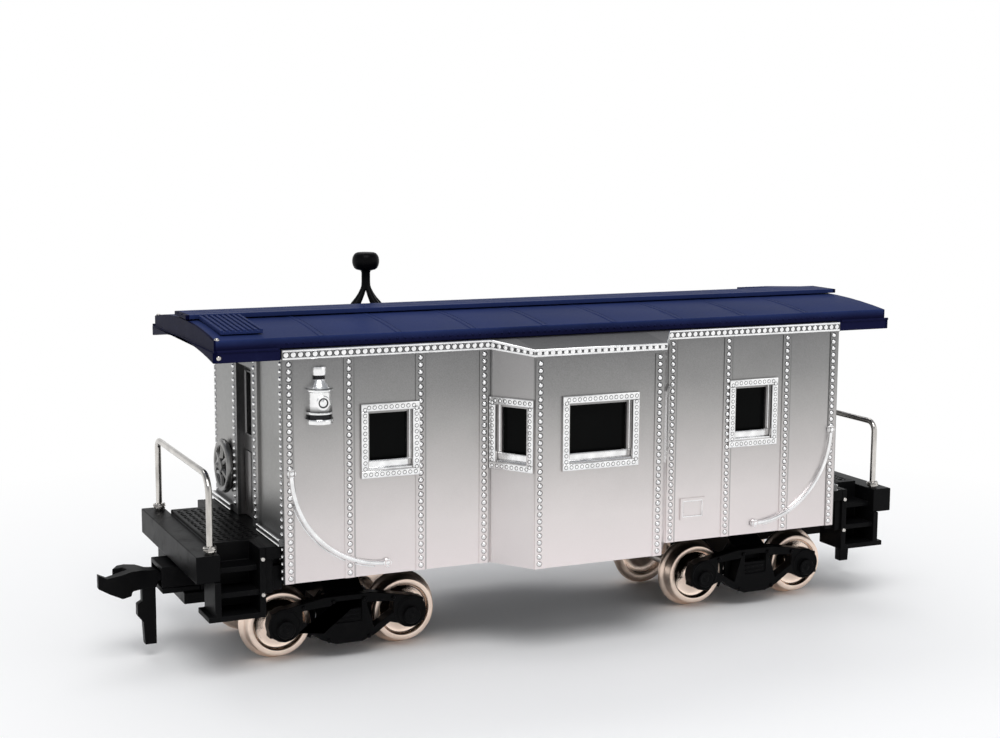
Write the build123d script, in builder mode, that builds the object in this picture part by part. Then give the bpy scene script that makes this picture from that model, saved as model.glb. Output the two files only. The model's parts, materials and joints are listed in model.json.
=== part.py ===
from build123d import *
import math
import os

os.makedirs("parts", exist_ok=True)

# Model bay-window caboose to 1:87. Millimetres, +X along the car, +Z up.
# Heights are above the lowest point of the wheel flanges.
running_clearance = 0.05
seat_gap = 0.05
like_ends = (-1, 1)

# wheels and axles
gauge_back = 14.5
tread_radius = 4.8
flange_depth = 0.75
flange_thickness = 0.6
flange_sides = 32
wheel_width = 2.8
wheel_dish = 0.8
dish_sides = 16
rim_width = 0.9
rail_height = flange_depth
axle_height = rail_height + tread_radius
axle_radius = 0.8
axle_reach = 1.25
truck_inset = 11.3
wheelbase = 19.3

# body
body_length = 92.5
body_width = 35.5
wall = 1.2
side_bottom = 13.55
side_top = 46.65
bay_root_half = 14.8
bay_front_half = 10.6
bay_depth = 6.4
bay_lid = 1.2
bay_fall = 1.0
strip_height = 1.5
strip_raise = 0.3
floor_top = 18.95
floor_thickness = 1.8
end_wall_bottom = floor_top + 0.1

# windows
sill_height = 28.8
frame_border = 1.1
frame_raise = 0.4
sash_inset = 0.7
sash_rim = 0.45
pane_thickness = 0.6

# roof
hood_overhang = 9.55
hood_setback = 0.3
roof_setback = 0.45
roof_edge_height = 1.6
roof_arch_height = 1.3
hood_side_reach = 0.05
hood_skirt = 1.5
hood_rim = 1.2
walk_half_width = 3.3
walk_height = 0.8

# platforms
platform_length = 8.75
beam_thickness = 3.4
beam_setback = 0.95
beam_top = 18.4
beam_bottom = 14.6

half_length = body_length / 2
half_width = body_width / 2
roof_half_width = half_width - roof_setback
beam_half = half_width - beam_setback
roof_edge_bottom = side_top + seat_gap
roof_edge_top = side_top + roof_edge_height
roof_crown = roof_edge_top + roof_arch_height
walk_top = roof_crown + walk_height
hood_half_length = half_length + hood_overhang
hood_half_width = half_width + hood_side_reach
hood_bottom = side_top - hood_skirt
hood_arch = side_top - 0.05
roof_half_length = hood_half_length - hood_setback
beam_inner = half_length + platform_length
beam_outer = beam_inner + beam_thickness
truck_center = half_length - truck_inset
bay_face = half_width + bay_depth
arch_rise = roof_crown - roof_edge_top
arch_radius = (roof_half_width ** 2 + arch_rise ** 2) / (2 * arch_rise)
arch_center = roof_crown - arch_radius
wheel_back = gauge_back / 2
wheel_face = wheel_back + wheel_width
flange_radius = tread_radius + flange_depth


def arch_height(y, lift):
    return arch_center + math.sqrt((arch_radius + lift) ** 2 - y ** 2)


def arch_points(y_from, y_to, lift):
    middle = (y_from + y_to) / 2
    return [(y, arch_height(y, lift)) for y in (y_from, middle, y_to)]


# Plan of the body with a bay in the middle of both sides.
plan_points = [
    (-half_length, -half_width),
    (-bay_root_half, -half_width),
    (-bay_front_half, -bay_face),
    (bay_front_half, -bay_face),
    (bay_root_half, -half_width),
    (half_length, -half_width),
    (half_length, half_width),
    (bay_root_half, half_width),
    (bay_front_half, bay_face),
    (-bay_front_half, bay_face),
    (-bay_root_half, half_width),
    (-half_length, half_width),
]

# The near side's windows: where they sit, and the size of the opening.
slant_x = bay_root_half - bay_front_half
slant_mid_x = (bay_root_half + bay_front_half) / 2
slant_mid_y = half_width + bay_depth / 2
side_window_inset = 15.9
side_window_x = half_length - side_window_inset
slant_opening = 5.3
window_table = [
    # origin x, origin y, direction along the wall, normal, opening width, opening height
    (-side_window_x, -half_width, (1, 0, 0), (0, -1, 0), 6.7, 8.5),
    (side_window_x, -half_width, (1, 0, 0), (0, -1, 0), 6.7, 8.5),
    (0, -bay_face, (1, 0, 0), (0, -1, 0), 10.4, 8.8),
    (-slant_mid_x, -slant_mid_y, (slant_x, -bay_depth, 0), (-bay_depth, -slant_x, 0), slant_opening, 8.5),
    (slant_mid_x, -slant_mid_y, (slant_x, bay_depth, 0), (bay_depth, -slant_x, 0), slant_opening, 8.5),
]


def wall_plane(row, depth):
    x, y, along, normal = row[:4]
    return Plane(origin=(x, y, sill_height + row[5] / 2), x_dir=along, z_dir=normal).offset(-depth)


# The bays' lids slope down by bay_fall; their cuts and bands reach 1 mm farther out.
bay_drop = bay_fall * (bay_depth + 1) / bay_depth

# Raised letterboard that runs round the top of the sides and bays.
with BuildPart() as letterboard:
    with BuildSketch(Plane.XY.offset(side_bottom)):
        with BuildLine():
            Polyline(*plan_points, close=True)
        make_face()
        offset(amount=strip_raise, kind=Kind.INTERSECTION)
    extrude(amount=side_top - side_bottom)
    with BuildSketch(Plane.XY.offset(side_bottom)):
        with BuildLine():
            Polyline(*plan_points, close=True)
        make_face()
        offset(amount=-wall / 2, kind=Kind.INTERSECTION)
    extrude(amount=side_top - side_bottom, mode=Mode.SUBTRACT)
    with BuildSketch(Plane.YZ.offset(-half_length)):
        with BuildLine():
            Polyline(
                (-bay_face - 1, side_top - bay_drop),
                (-half_width, side_top),
                (half_width, side_top),
                (bay_face + 1, side_top - bay_drop),
                (bay_face + 1, side_top - strip_height + 0.5 - bay_drop),
                (half_width, side_top - strip_height),
                (-half_width, side_top - strip_height),
                (-bay_face - 1, side_top - strip_height + 0.5 - bay_drop),
                close=True,
            )
        make_face()
    extrude(amount=body_length, mode=Mode.INTERSECT)

# Everything that stands proud of one side: frames, panel laps, lantern, curved grab irons.
lap_width = 1.5
lap_raise = 0.14
lap_insets = [0.8, 9.75, 20.55]
lap_places = [half_length - inset for inset in lap_insets] + [bay_root_half + 0.95]
bay_lap_columns = [-bay_front_half + 0.8, bay_front_half - 0.8]
grab_radius = 14.1
grab_rod = 0.36
grab_lug = 0.9
grab_center_x = half_length - 15.25
grab_center_z = side_bottom + 15.8
lantern_x = -half_length + 5.35
lantern_bottom = side_top - 10.55
hatch_x = bay_root_half + 4.9
hatch_z = side_bottom + 5.05
hatch_width = 4.4
hatch_height = 3.4

with BuildPart() as side_trim:
    for row in window_table:
        with BuildSketch(wall_plane(row, 0.1)):
            Rectangle(row[4] + 2 * frame_border, row[5] + 2 * frame_border)
            Rectangle(row[4], row[5], mode=Mode.SUBTRACT)
        extrude(amount=frame_raise + 0.1)
    for x in lap_places:
        with BuildSketch(Plane.XZ.offset(half_width - 0.1)):
            lap_middle = (side_bottom + side_top - strip_height) / 2
            with Locations((x, lap_middle), (-x, lap_middle)):
                Rectangle(lap_width, side_top - strip_height - side_bottom)
        extrude(amount=lap_raise + 0.1)
    for x in bay_lap_columns:
        with BuildSketch(Plane.XZ.offset(bay_face - 0.1)):
            with Locations((x, (side_bottom + side_top - strip_height - bay_fall) / 2)):
                Rectangle(lap_width, side_top - strip_height - bay_fall - side_bottom)
        extrude(amount=lap_raise + 0.1)
    for end in like_ends:
        corner_x = end * (grab_center_x + grab_radius)
        diagonal = grab_radius * math.sqrt(0.5)
        with BuildLine(Plane.XZ.offset(half_width + 0.1)):
            ThreePointArc(
                (corner_x, grab_center_z),
                (end * (grab_center_x + diagonal), grab_center_z - diagonal),
                (end * grab_center_x, grab_center_z - grab_radius),
            )
        with BuildSketch(Plane(origin=(corner_x, -half_width - 0.1, grab_center_z), z_dir=(0, 0, -1))):
            Rectangle(2 * grab_rod, 2 * grab_rod)
        sweep()
        with Locations(
            (corner_x, -half_width - 0.1, grab_center_z),
            (end * grab_center_x, -half_width - 0.1, grab_center_z - grab_radius),
        ):
            Box(grab_lug, 1.2, grab_lug)
    with BuildSketch(Plane.XZ.offset(half_width - 0.1)):
        with Locations((hatch_x, hatch_z)):
            Rectangle(hatch_width, hatch_height)
            Rectangle(hatch_width - 0.8, hatch_height - 0.8, mode=Mode.SUBTRACT)
    extrude(amount=0.35)

# The embossed marker lantern: a can with a sloping shoulder and a knob, sunk to its middle in the side.
lantern_sides = 12
lantern_radius = 1.8
lantern_height = 6.3
lantern_neck = 0.6
lantern_knob = 1.1
with BuildPart() as lantern:
    with BuildSketch(Plane.XY.offset(lantern_bottom)):
        RegularPolygon(lantern_radius, lantern_sides)
    extrude(amount=lantern_height)
    top_face = lantern.faces().sort_by(Axis.Z)[-1]
    chamfer(top_face.edges(), lantern_radius - 0.75, 1.4, reference=top_face)
    with BuildSketch(Plane.XY.offset(lantern_bottom + lantern_height)):
        RegularPolygon(0.75, lantern_sides)
    extrude(amount=lantern_neck)
    with BuildSketch(Plane.XY.offset(lantern_bottom + lantern_height + lantern_neck)):
        RegularPolygon(1.0, lantern_sides)
    extrude(amount=lantern_knob)

# Fittings of one end wall: door surround, ledge, spoked brake wheel and its housing.
door_half = 3.9
door_top = side_top - 4.35
door_window_z = side_top - 10.25
surround_half = 6.9
door_depth = 0.9
ledge_height = 1.0
ledge_reach = 0.7
brake_y = 9.9
brake_z = floor_top + 6.55
brake_radius = 3.6
brake_rod = 0.42
brake_standoff = 0.85
spoke_count = 6
rim_sides = 20

with BuildPart() as end_trim:
    with BuildSketch(Plane.YZ.offset(-half_length + 0.1)):
        with Locations((0, (end_wall_bottom + side_top - 1.2) / 2)):
            Rectangle(2 * surround_half, side_top - 1.2 - end_wall_bottom)
        with Locations((0, (end_wall_bottom + door_top) / 2)):
            Rectangle(2 * door_half, door_top - end_wall_bottom, mode=Mode.SUBTRACT)
    extrude(amount=-0.45)
    for side in like_ends:
        with BuildSketch(Plane.YZ.offset(-half_length + 0.1)):
            with Locations((side * (half_width + surround_half) / 2, end_wall_bottom + ledge_height / 2)):
                Rectangle(half_width - surround_half, ledge_height)
        extrude(amount=-ledge_reach - 0.1)
    with BuildSketch(Plane.YZ.offset(-half_length - brake_standoff)):
        with Locations((brake_y, brake_z)):
            RegularPolygon(brake_radius + brake_rod, rim_sides)
            RegularPolygon(brake_radius - brake_rod, rim_sides, mode=Mode.SUBTRACT)
    extrude(amount=brake_rod, both=True)
    with BuildSketch(Plane.YZ.offset(-half_length - brake_standoff)):
        with Locations((brake_y, brake_z)):
            with PolarLocations(brake_radius / 2, spoke_count, start_angle=90):
                Rectangle(brake_radius, 0.6)
    extrude(amount=brake_rod - 0.14, both=True)
    with BuildSketch(Plane.YZ.offset(-half_length + 0.1)):
        with Locations((brake_y, brake_z)):
            RegularPolygon(1.2, 8)
    extrude(amount=-brake_standoff - brake_rod - 0.3)

with BuildPart() as body_shell:
    with BuildSketch(Plane.XY.offset(side_bottom)):
        with BuildLine():
            Polyline(*plan_points, close=True)
        make_face()
    extrude(amount=side_top - side_bottom)
    # bays are hollow up to their lid, the room between the straight sides up to the roof
    with BuildSketch(Plane.XY.offset(side_bottom)):
        with BuildLine():
            Polyline(*plan_points, close=True)
        make_face()
        offset(amount=-wall, kind=Kind.INTERSECTION)
    extrude(amount=side_top - bay_fall - bay_lid - side_bottom, mode=Mode.SUBTRACT)
    with Locations((0, 0, side_bottom)):
        Box(
            body_length - 2 * wall, body_width - 2 * wall, side_top - side_bottom,
            align=(Align.CENTER, Align.CENTER, Align.MIN), mode=Mode.SUBTRACT,
        )
    for side in like_ends:
        with BuildSketch(Plane.YZ.offset(-bay_root_half - 1)):
            with BuildLine():
                Polyline(
                    (side * half_width, side_top),
                    (side * (bay_face + 1), side_top),
                    (side * (bay_face + 1), side_top - bay_drop),
                    close=True,
                )
            make_face()
        extrude(amount=2 * bay_root_half + 2, mode=Mode.SUBTRACT)
    # the end walls stop at the floor, so that the platforms pass under them
    with BuildSketch(Plane.XY.offset(side_bottom)):
        Rectangle(body_length + 2, body_width - 2 * wall)
    extrude(amount=end_wall_bottom - side_bottom, mode=Mode.SUBTRACT)
    add(letterboard.part)
    for end in like_ends:
        with Locations((end * (half_length - wall), 0, end_wall_bottom)):
            Box(
                2 * wall, 2 * door_half + 2, side_top - end_wall_bottom,
                align=(Align.CENTER, Align.CENTER, Align.MIN),
            )
    add(side_trim.part)
    mirror(side_trim.part, about=Plane.XZ)
    with Locations((lantern_x, -half_width - 0.1, 0), (lantern_x, half_width + 0.1, 0)):
        add(lantern.part)
    # whatever of the lanterns and grab irons came through to the inside
    with Locations((0, 0, side_bottom - 1)):
        Box(
            body_length - 4.2 * wall, body_width - 2 * wall, side_top - side_bottom + 1,
            align=(Align.CENTER, Align.CENTER, Align.MIN), mode=Mode.SUBTRACT,
        )
    add(end_trim.part)
    add(end_trim.part.rotate(Axis.Z, 180))
    for end in like_ends:
        with Locations((end * half_length, 0, end_wall_bottom)):
            Box(
                2 * door_depth, 2 * door_half, door_top - end_wall_bottom,
                align=(Align.CENTER, Align.CENTER, Align.MIN), mode=Mode.SUBTRACT,
            )
        with Locations((end * half_length, 0, door_window_z)):
            Box(8, 5.2, 9.3, mode=Mode.SUBTRACT)
    for row in window_table:
        for shrink, reach in ((0, sash_inset), (2 * sash_rim, wall + 1)):
            with BuildSketch(wall_plane(row, -1)):
                Rectangle(row[4] - shrink, row[5] - shrink)
            hole_part = extrude(amount=-reach - 1, mode=Mode.SUBTRACT)
            mirror(hole_part, about=Plane.XZ, mode=Mode.SUBTRACT)

with BuildPart() as glazing_near:
    for row in window_table:
        with BuildSketch(wall_plane(row, wall + seat_gap)):
            Rectangle(row[4] - 0.1, row[5] + 0.3)
        extrude(amount=-pane_thickness)

with BuildPart() as glazing_far:
    mirror(glazing_near.part, about=Plane.XZ)

with BuildPart() as glazing_ends:
    for end in like_ends:
        with Locations((end * (half_length - 2 * wall - seat_gap - pane_thickness / 2), 0, door_window_z)):
            Box(pane_thickness, 6.4, 10.4)

# Roof: one arched moulding, with a hood over both platforms.
rib_count = 8
rib_pitch = 11.5
rib_columns = [(number - (rib_count - 1) / 2) * rib_pitch for number in range(rib_count)]
with BuildPart() as roof:
    with BuildSketch(Plane.YZ.offset(-roof_half_length)):
        with BuildLine():
            Line((-roof_half_width, roof_edge_bottom), (roof_half_width, roof_edge_bottom))
            Line((roof_half_width, roof_edge_bottom), (roof_half_width, roof_edge_top))
            ThreePointArc(*arch_points(roof_half_width, -roof_half_width, 0))
            Line((-roof_half_width, roof_edge_top), (-roof_half_width, roof_edge_bottom))
        make_face()
    extrude(amount=2 * roof_half_length)
    for end in like_ends:
        with BuildSketch(Plane.YZ.offset(end * hood_half_length)):
            with BuildLine():
                Line((hood_half_width, hood_bottom), (hood_half_width, roof_edge_bottom))
                Line((hood_half_width, roof_edge_bottom), (-hood_half_width, roof_edge_bottom))
                Line((-hood_half_width, roof_edge_bottom), (-hood_half_width, hood_bottom))
                ThreePointArc(
                    (-hood_half_width, hood_bottom), (0, hood_arch), (hood_half_width, hood_bottom),
                )
            make_face()
        extrude(amount=-end * (hood_half_length - half_length - seat_gap))
    for x in rib_columns:
        with BuildSketch(Plane.YZ.offset(x - 0.4)):
            with BuildLine():
                low = arch_points(-roof_half_width, roof_half_width, -0.1)
                high = arch_points(-roof_half_width, roof_half_width, 0.14)
                ThreePointArc(*low)
                Line(low[2], high[2])
                ThreePointArc(*high)
                Line(low[0], high[0])
            make_face()
        extrude(amount=0.8)
    # hollow inside the body and under the hoods
    room_half = roof_half_width - 1.2
    cavities = [
        # from x, to x
        (-half_length + 3, half_length - 3),
        (-hood_half_length + hood_rim, -half_length - 1.2),
        (half_length + 1.2, hood_half_length - hood_rim),
    ]
    for x_from, x_to in cavities:
        with BuildSketch(Plane.YZ.offset(x_from)):
            with BuildLine():
                ceiling = arch_points(-room_half, room_half, -1.3)
                ThreePointArc(*ceiling)
                Line(ceiling[2], (room_half, hood_bottom - 1))
                Line((room_half, hood_bottom - 1), (-room_half, hood_bottom - 1))
                Line((-room_half, hood_bottom - 1), ceiling[0])
            make_face()
        extrude(amount=x_to - x_from, mode=Mode.SUBTRACT)

with BuildPart() as roofwalk:
    with BuildSketch(Plane.YZ.offset(-hood_half_length)):
        with BuildLine():
            seat = arch_points(-walk_half_width, walk_half_width, 0.2)
            ThreePointArc(*seat)
            Polyline(
                seat[2], (walk_half_width, walk_top), (1.25, walk_top), (1.25, walk_top - 0.2),
                (1.0, walk_top - 0.2), (1.0, walk_top), (-1.0, walk_top), (-1.0, walk_top - 0.2),
                (-1.25, walk_top - 0.2), (-1.25, walk_top), (-walk_half_width, walk_top), seat[0],
            )
        make_face()
    extrude(amount=2 * hood_half_length)

# Side boards of ribbed plate, one at each end on opposite sides of the walk.
grating_from = walk_half_width + 0.3
grating_to = roof_half_width - 2.1
grating_length = 6.0
grating_middle = hood_half_length - 4.8
grating_ribs = 8


def build_grating(sign):
    with BuildPart() as grating:
        plates = [(-grating_length / 2, grating_length, 0.05, 0.4)]
        pitch = (grating_length - 0.4) / (grating_ribs - 1)
        plates += [(-grating_length / 2 + number * pitch, 0.4, 0.35, 0.65) for number in range(grating_ribs)]
        for x_from, length, low_lift, high_lift in plates:
            with BuildSketch(Plane.YZ.offset(sign * grating_middle + x_from)):
                with BuildLine():
                    inner, middle, outer = arch_points(sign * grating_from, sign * grating_to, low_lift)
                    crown_gap = middle[1] - (inner[1] + outer[1]) / 2
                    rise = high_lift - low_lift
                    Polyline(
                        (inner[0], inner[1] + crown_gap), (outer[0], outer[1] + crown_gap),
                        (outer[0], outer[1] + crown_gap + rise), (inner[0], inner[1] + crown_gap + rise),
                        close=True,
                    )
                make_face()
            extrude(amount=length)
    return grating.part


# Smoke jack: mushroom cap on a stem with four splayed legs on the far slope of the roof.
jack_x = -24.2
jack_y = 8.8
jack_sides = 12
jack_stem_radius = 0.78
jack_stem_bottom = 2.05
jack_cap_radius = 2.15
jack_cap_bottom = 5.4
jack_cap_height = 2.8
leg_spread = 2.35
with BuildPart() as under_roof:
    with BuildSketch(Plane.YZ.offset(-hood_half_length)):
        with BuildLine():
            top_line = arch_points(-roof_half_width, roof_half_width, 0.05)
            ThreePointArc(*top_line)
            Line(top_line[2], (roof_half_width, roof_edge_bottom))
            Line((roof_half_width, roof_edge_bottom), (-roof_half_width, roof_edge_bottom))
            Line((-roof_half_width, roof_edge_bottom), top_line[0])
        make_face()
    extrude(amount=2 * hood_half_length)

with BuildPart() as smoke_jack:
    with BuildSketch(Plane.XY.offset(roof_crown + jack_cap_bottom)):
        with Locations((jack_x, jack_y)):
            RegularPolygon(jack_cap_radius, jack_sides)
    extrude(amount=jack_cap_height)
    cap_under = smoke_jack.faces().sort_by(Axis.Z)[0]
    chamfer(cap_under.edges(), jack_cap_radius - jack_stem_radius - 0.1, 1.1, reference=cap_under)
    cap_top = smoke_jack.faces().sort_by(Axis.Z)[-1]
    chamfer(cap_top.edges(), 0.85, 0.8, reference=cap_top)
    with BuildSketch(Plane.XY.offset(roof_crown + jack_stem_bottom)):
        with Locations((jack_x, jack_y)):
            RegularPolygon(jack_stem_radius, jack_sides)
    extrude(amount=jack_cap_bottom - jack_stem_bottom + 0.1)
    for number in range(4):
        outward = Vector(1, 0, 0).rotate(Axis.Z, 45 + 90 * number)
        foot = Vector(jack_x, jack_y, roof_crown - 1.3) + outward * leg_spread
        head = Vector(jack_x, jack_y, roof_crown + 2.9) + outward * 0.3
        with BuildSketch(Plane(origin=foot, z_dir=head - foot)):
            RegularPolygon(0.45, 6)
        extrude(amount=(head - foot).length)
    add(under_roof.part, mode=Mode.SUBTRACT)

# Underframe with both platforms, end beams and corner steps.
step_outer = half_width - 0.75
step_inner = step_outer - 6.0
step_near = half_length + 2.35
step_far = beam_inner + 0.9
step_bottom = 8.95
step_plate = 0.9
tread_thickness = 0.8
tread_table = [
    # height of the tread's top above the steps' bottom, setback of its edge, length beyond the plate
    (7.25, 1.6, 0),
    (3.95, 0.6, 0),
    (0.8, 0, 0.9),
]
boss_bottom = 13.1
boss_radius = 4.2
cross_bearers = [7.5, 22.0, half_length + 0.55]
kingpin_radius = 1.5
sill_half = 2.6
sill_bottom = 15.2
floor_bottom = floor_top - floor_thickness

with BuildPart() as underframe:
    with BuildSketch(Plane.XY.offset(floor_bottom)):
        with BuildLine():
            Polyline(*plan_points, close=True)
        make_face()
        offset(amount=-wall - 0.15, kind=Kind.INTERSECTION)
        Rectangle(2 * (half_length + 0.5), body_width - 2 * wall - 0.3)
        Rectangle(2 * beam_inner, 2 * step_inner)
    extrude(amount=floor_thickness)
    for end in like_ends:
        shelf_from = half_length + 0.1
        with Locations((end * (shelf_from + step_near) / 2, 0, floor_bottom)):
            Box(
                step_near - shelf_from, 2 * step_outer, floor_thickness,
                align=(Align.CENTER, Align.CENTER, Align.MIN),
            )
        with Locations((end * (beam_inner + beam_outer) / 2, 0, beam_bottom)):
            Box(
                beam_outer - beam_inner, 2 * beam_half, beam_top - beam_bottom,
                align=(Align.CENTER, Align.CENTER, Align.MIN),
            )
        with BuildSketch(Plane.XY.offset(boss_bottom)):
            with Locations((end * truck_center, 0)):
                RegularPolygon(boss_radius, 12)
        extrude(amount=floor_bottom - boss_bottom)
    with Locations((0, 0, sill_bottom)):
        Box(
            2 * beam_inner, 2 * sill_half, floor_bottom - sill_bottom,
            align=(Align.CENTER, Align.CENTER, Align.MIN),
        )
    for x in cross_bearers:
        with Locations((x, 0, sill_bottom + 0.6), (-x, 0, sill_bottom + 0.6)):
            Box(
                1.4, 2 * (half_width - wall - 1.2), floor_bottom - sill_bottom - 0.6,
                align=(Align.CENTER, Align.CENTER, Align.MIN),
            )
    with BuildSketch(Plane.XY.offset(boss_bottom)):
        with Locations((-truck_center, 0), (truck_center, 0)):
            RegularPolygon(kingpin_radius + 0.02, 8, major_radius=False)
    extrude(amount=floor_top - boss_bottom, mode=Mode.SUBTRACT)


# Corner steps: two side plates, a back plate and three treads.
def build_steps(end, side):
    with BuildPart() as steps:
        for x, plate_top in ((step_near, floor_top), (step_far - step_plate, beam_bottom)):
            with Locations((end * (x + step_plate / 2), side * (step_inner + step_outer) / 2, step_bottom)):
                Box(
                    step_plate, step_outer - step_inner, plate_top - step_bottom,
                    align=(Align.CENTER, Align.CENTER, Align.MIN),
                )
        with Locations((end * (step_near + beam_inner) / 2, side * (step_inner + 0.4), step_bottom)):
            Box(
                beam_inner - step_near, 0.8, floor_top - step_bottom,
                align=(Align.CENTER, Align.CENTER, Align.MIN),
            )
        for tread_rise, setback, beyond in tread_table:
            reach = step_outer - setback
            tread_top = step_bottom + tread_rise
            length = (step_far if tread_top < beam_bottom else beam_inner) + beyond - step_near
            with Locations((end * (step_near + length / 2), side * (step_inner + reach) / 2, tread_top)):
                Box(
                    length, reach - step_inner, tread_thickness,
                    align=(Align.CENTER, Align.CENTER, Align.MAX),
                )
    return steps.part


ballast_thickness = 2.6
ballast_margin = 8.0
with BuildPart() as ballast_weight:
    with Locations((0, 0, floor_top + seat_gap)):
        Box(
            2 * (truck_center - ballast_margin), body_width - ballast_margin, ballast_thickness,
            align=(Align.CENTER, Align.CENTER, Align.MIN),
        )

# Wire railing across the outer end of a platform.
rail_x = beam_inner + 1.0
rail_y = beam_half - 1.8
rail_height_above_beam = 10.9
rail_top = beam_top + rail_height_above_beam
rail_rod = 0.44
rail_bend = 3.0


def build_railing(sign):
    foot_z = beam_top + seat_gap
    with BuildPart() as railing:
        with BuildLine(Plane.YZ.offset(sign * rail_x)):
            FilletPolyline(
                (-rail_y, foot_z), (-rail_y, rail_top), (rail_y, rail_top), (rail_y, foot_z),
                radius=rail_bend,
            )
        with BuildSketch(Plane.XY.offset(foot_z)):
            with Locations((sign * rail_x, -rail_y)):
                RegularPolygon(rail_rod, 6)
        sweep()
        with BuildSketch(Plane.XY.offset(foot_z)):
            with Locations((sign * rail_x, -rail_y), (sign * rail_x, rail_y)):
                RegularPolygon(0.95, 8)
        extrude(amount=0.8)
    return railing.part


# Truck: one moulding with two side frames, bolster and the arm that carries the coupler box.
frame_gap = 0.7
frame_thickness = 2.0
frame_inner = wheel_face + frame_gap
frame_outer = frame_inner + frame_thickness
axle_half_length = frame_inner + axle_reach
bolster_half = 2.9
bolster_top = boss_bottom - 0.15
bolster_bottom = axle_height + 2.05
kingpin_bottom = bolster_bottom - 1.3
arm_half = 3.9
arm_bottom = 8.3
arm_top = 10.0
pivot_setback = 1.2
pivot_x = beam_outer - pivot_setback
box_outer_x = pivot_x + 2.8
box_inner_x = pivot_x - 2.8
box_half = 3.4
box_bottom = 10.9
box_top = 14.0
box_roof = 0.7
riser_length = 1.8
pivot_radius = 0.9
end_radius = 2.5
end_lift = 0.5
hub_radius = 1.3
hub_raise = 0.6
slot_half = 2.0
slot_bottom = -0.1
slot_top = 3.1
block_height = 2.0
half_base = wheelbase / 2
bearing_depth = axle_reach + 2 * running_clearance

# Right half of a side frame: distance from the truck's middle, height above the axles.
side_outline = [
    (3.6, 4.0), (half_base - 2.0, 3.3), (half_base + 2.0, 2.4), (half_base + 2.3, -1.2),
    (half_base - 1.8, -1.2), (6.4, -0.8), (4.2, -2.3), (2.0, -3.2),
]
side_opening = [(2.75, 2.6), (7.0, 2.3), (7.0, 0.7), (3.9, -1.25)]


def build_truck(sign):
    center = sign * truck_center
    with BuildPart() as truck:
        for side in like_ends:
            plane_y = side * frame_inner
            side_plane = Plane(origin=(center, plane_y, axle_height), x_dir=(1, 0, 0), z_dir=(0, -1, 0))
            with BuildSketch(side_plane):
                with BuildLine():
                    Polyline(*side_outline, *[(-x, z) for x, z in reversed(side_outline)], close=True)
                make_face()
                with Locations((-half_base, end_lift), (half_base, end_lift)):
                    RegularPolygon(end_radius, 16)
                for end in like_ends:
                    with BuildLine():
                        Polyline(*[(end * x, z) for x, z in side_opening], close=True)
                    make_face(mode=Mode.SUBTRACT)
                with Locations((0, (slot_bottom + slot_top) / 2)):
                    Rectangle(2 * slot_half, slot_top - slot_bottom, mode=Mode.SUBTRACT)
            extrude(amount=-side * frame_thickness)
            # a round cap closes each bearing
            with BuildSketch(side_plane.offset(-side * (frame_thickness - 0.1))):
                with Locations((-half_base, 0), (half_base, 0)):
                    RegularPolygon(hub_radius, 12)
            extrude(amount=-side * (hub_raise + 0.1))
            # the bolster's end shows as a block in the middle slot
            with Locations((center, side * (frame_outer - 0.9), axle_height + slot_bottom - 0.1)):
                Box(
                    2 * slot_half + 0.2, 1.2, block_height,
                    align=(Align.CENTER, Align.CENTER, Align.MIN),
                )
        # the bolster drops at its ends into the side frames
        with BuildSketch(Plane.YZ.offset(center - bolster_half)):
            with BuildLine():
                Polyline(
                    (-frame_inner - 0.2, axle_height + 1.85), (-frame_inner - 0.2, axle_height + 3.9),
                    (-5.5, bolster_top), (5.5, bolster_top), (frame_inner + 0.2, axle_height + 3.9),
                    (frame_inner + 0.2, axle_height + 1.85), (5.5, bolster_bottom),
                    (-5.5, bolster_bottom), close=True,
                )
            make_face()
        extrude(amount=2 * bolster_half)
        arm_from = truck_center + 1
        arm_to = pivot_x - 0.2
        with Locations((sign * (arm_from + arm_to) / 2, 0, arm_bottom)):
            Box(
                arm_to - arm_from, 2 * arm_half, arm_top - arm_bottom,
                align=(Align.CENTER, Align.CENTER, Align.MIN),
            )
        with Locations((sign * (box_inner_x - riser_length / 2), 0, arm_bottom)):
            Box(
                riser_length, 2 * box_half, box_top - arm_bottom,
                align=(Align.CENTER, Align.CENTER, Align.MIN),
            )
        with Locations((sign * (box_inner_x + box_outer_x) / 2, 0, box_bottom)):
            Box(
                box_outer_x - box_inner_x + 0.2, 2 * box_half, box_top - box_bottom,
                align=(Align.CENTER, Align.CENTER, Align.MIN),
            )
        with BuildSketch(Plane.XY.offset(box_bottom)):
            with BuildLine():
                Polyline(
                    (sign * (box_outer_x + 1), 2.9), (sign * (pivot_x - 2.0), 2.1),
                    (sign * (pivot_x - 2.0), -2.1), (sign * (box_outer_x + 1), -2.9), close=True,
                )
            make_face()
        extrude(amount=box_top - box_roof - box_bottom, mode=Mode.SUBTRACT)
        with Locations((sign * pivot_x, 0, box_bottom)):
            Cylinder(pivot_radius, box_top - box_bottom, align=(Align.CENTER, Align.CENTER, Align.MIN))
        # kingpin hole and the four axle bearings
        with BuildSketch(Plane.XY.offset(arm_bottom - 1)):
            with Locations((center, 0)):
                RegularPolygon(kingpin_radius + running_clearance, 12, major_radius=False)
        extrude(amount=bolster_top - arm_bottom + 2, mode=Mode.SUBTRACT)
        for end in like_ends:
            with BuildSketch(Plane.XZ):
                with Locations((center + end * half_base, axle_height)):
                    RegularPolygon(axle_radius + running_clearance, 8, major_radius=False)
            extrude(amount=frame_inner + bearing_depth, both=True, mode=Mode.SUBTRACT)
    return truck.part


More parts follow.
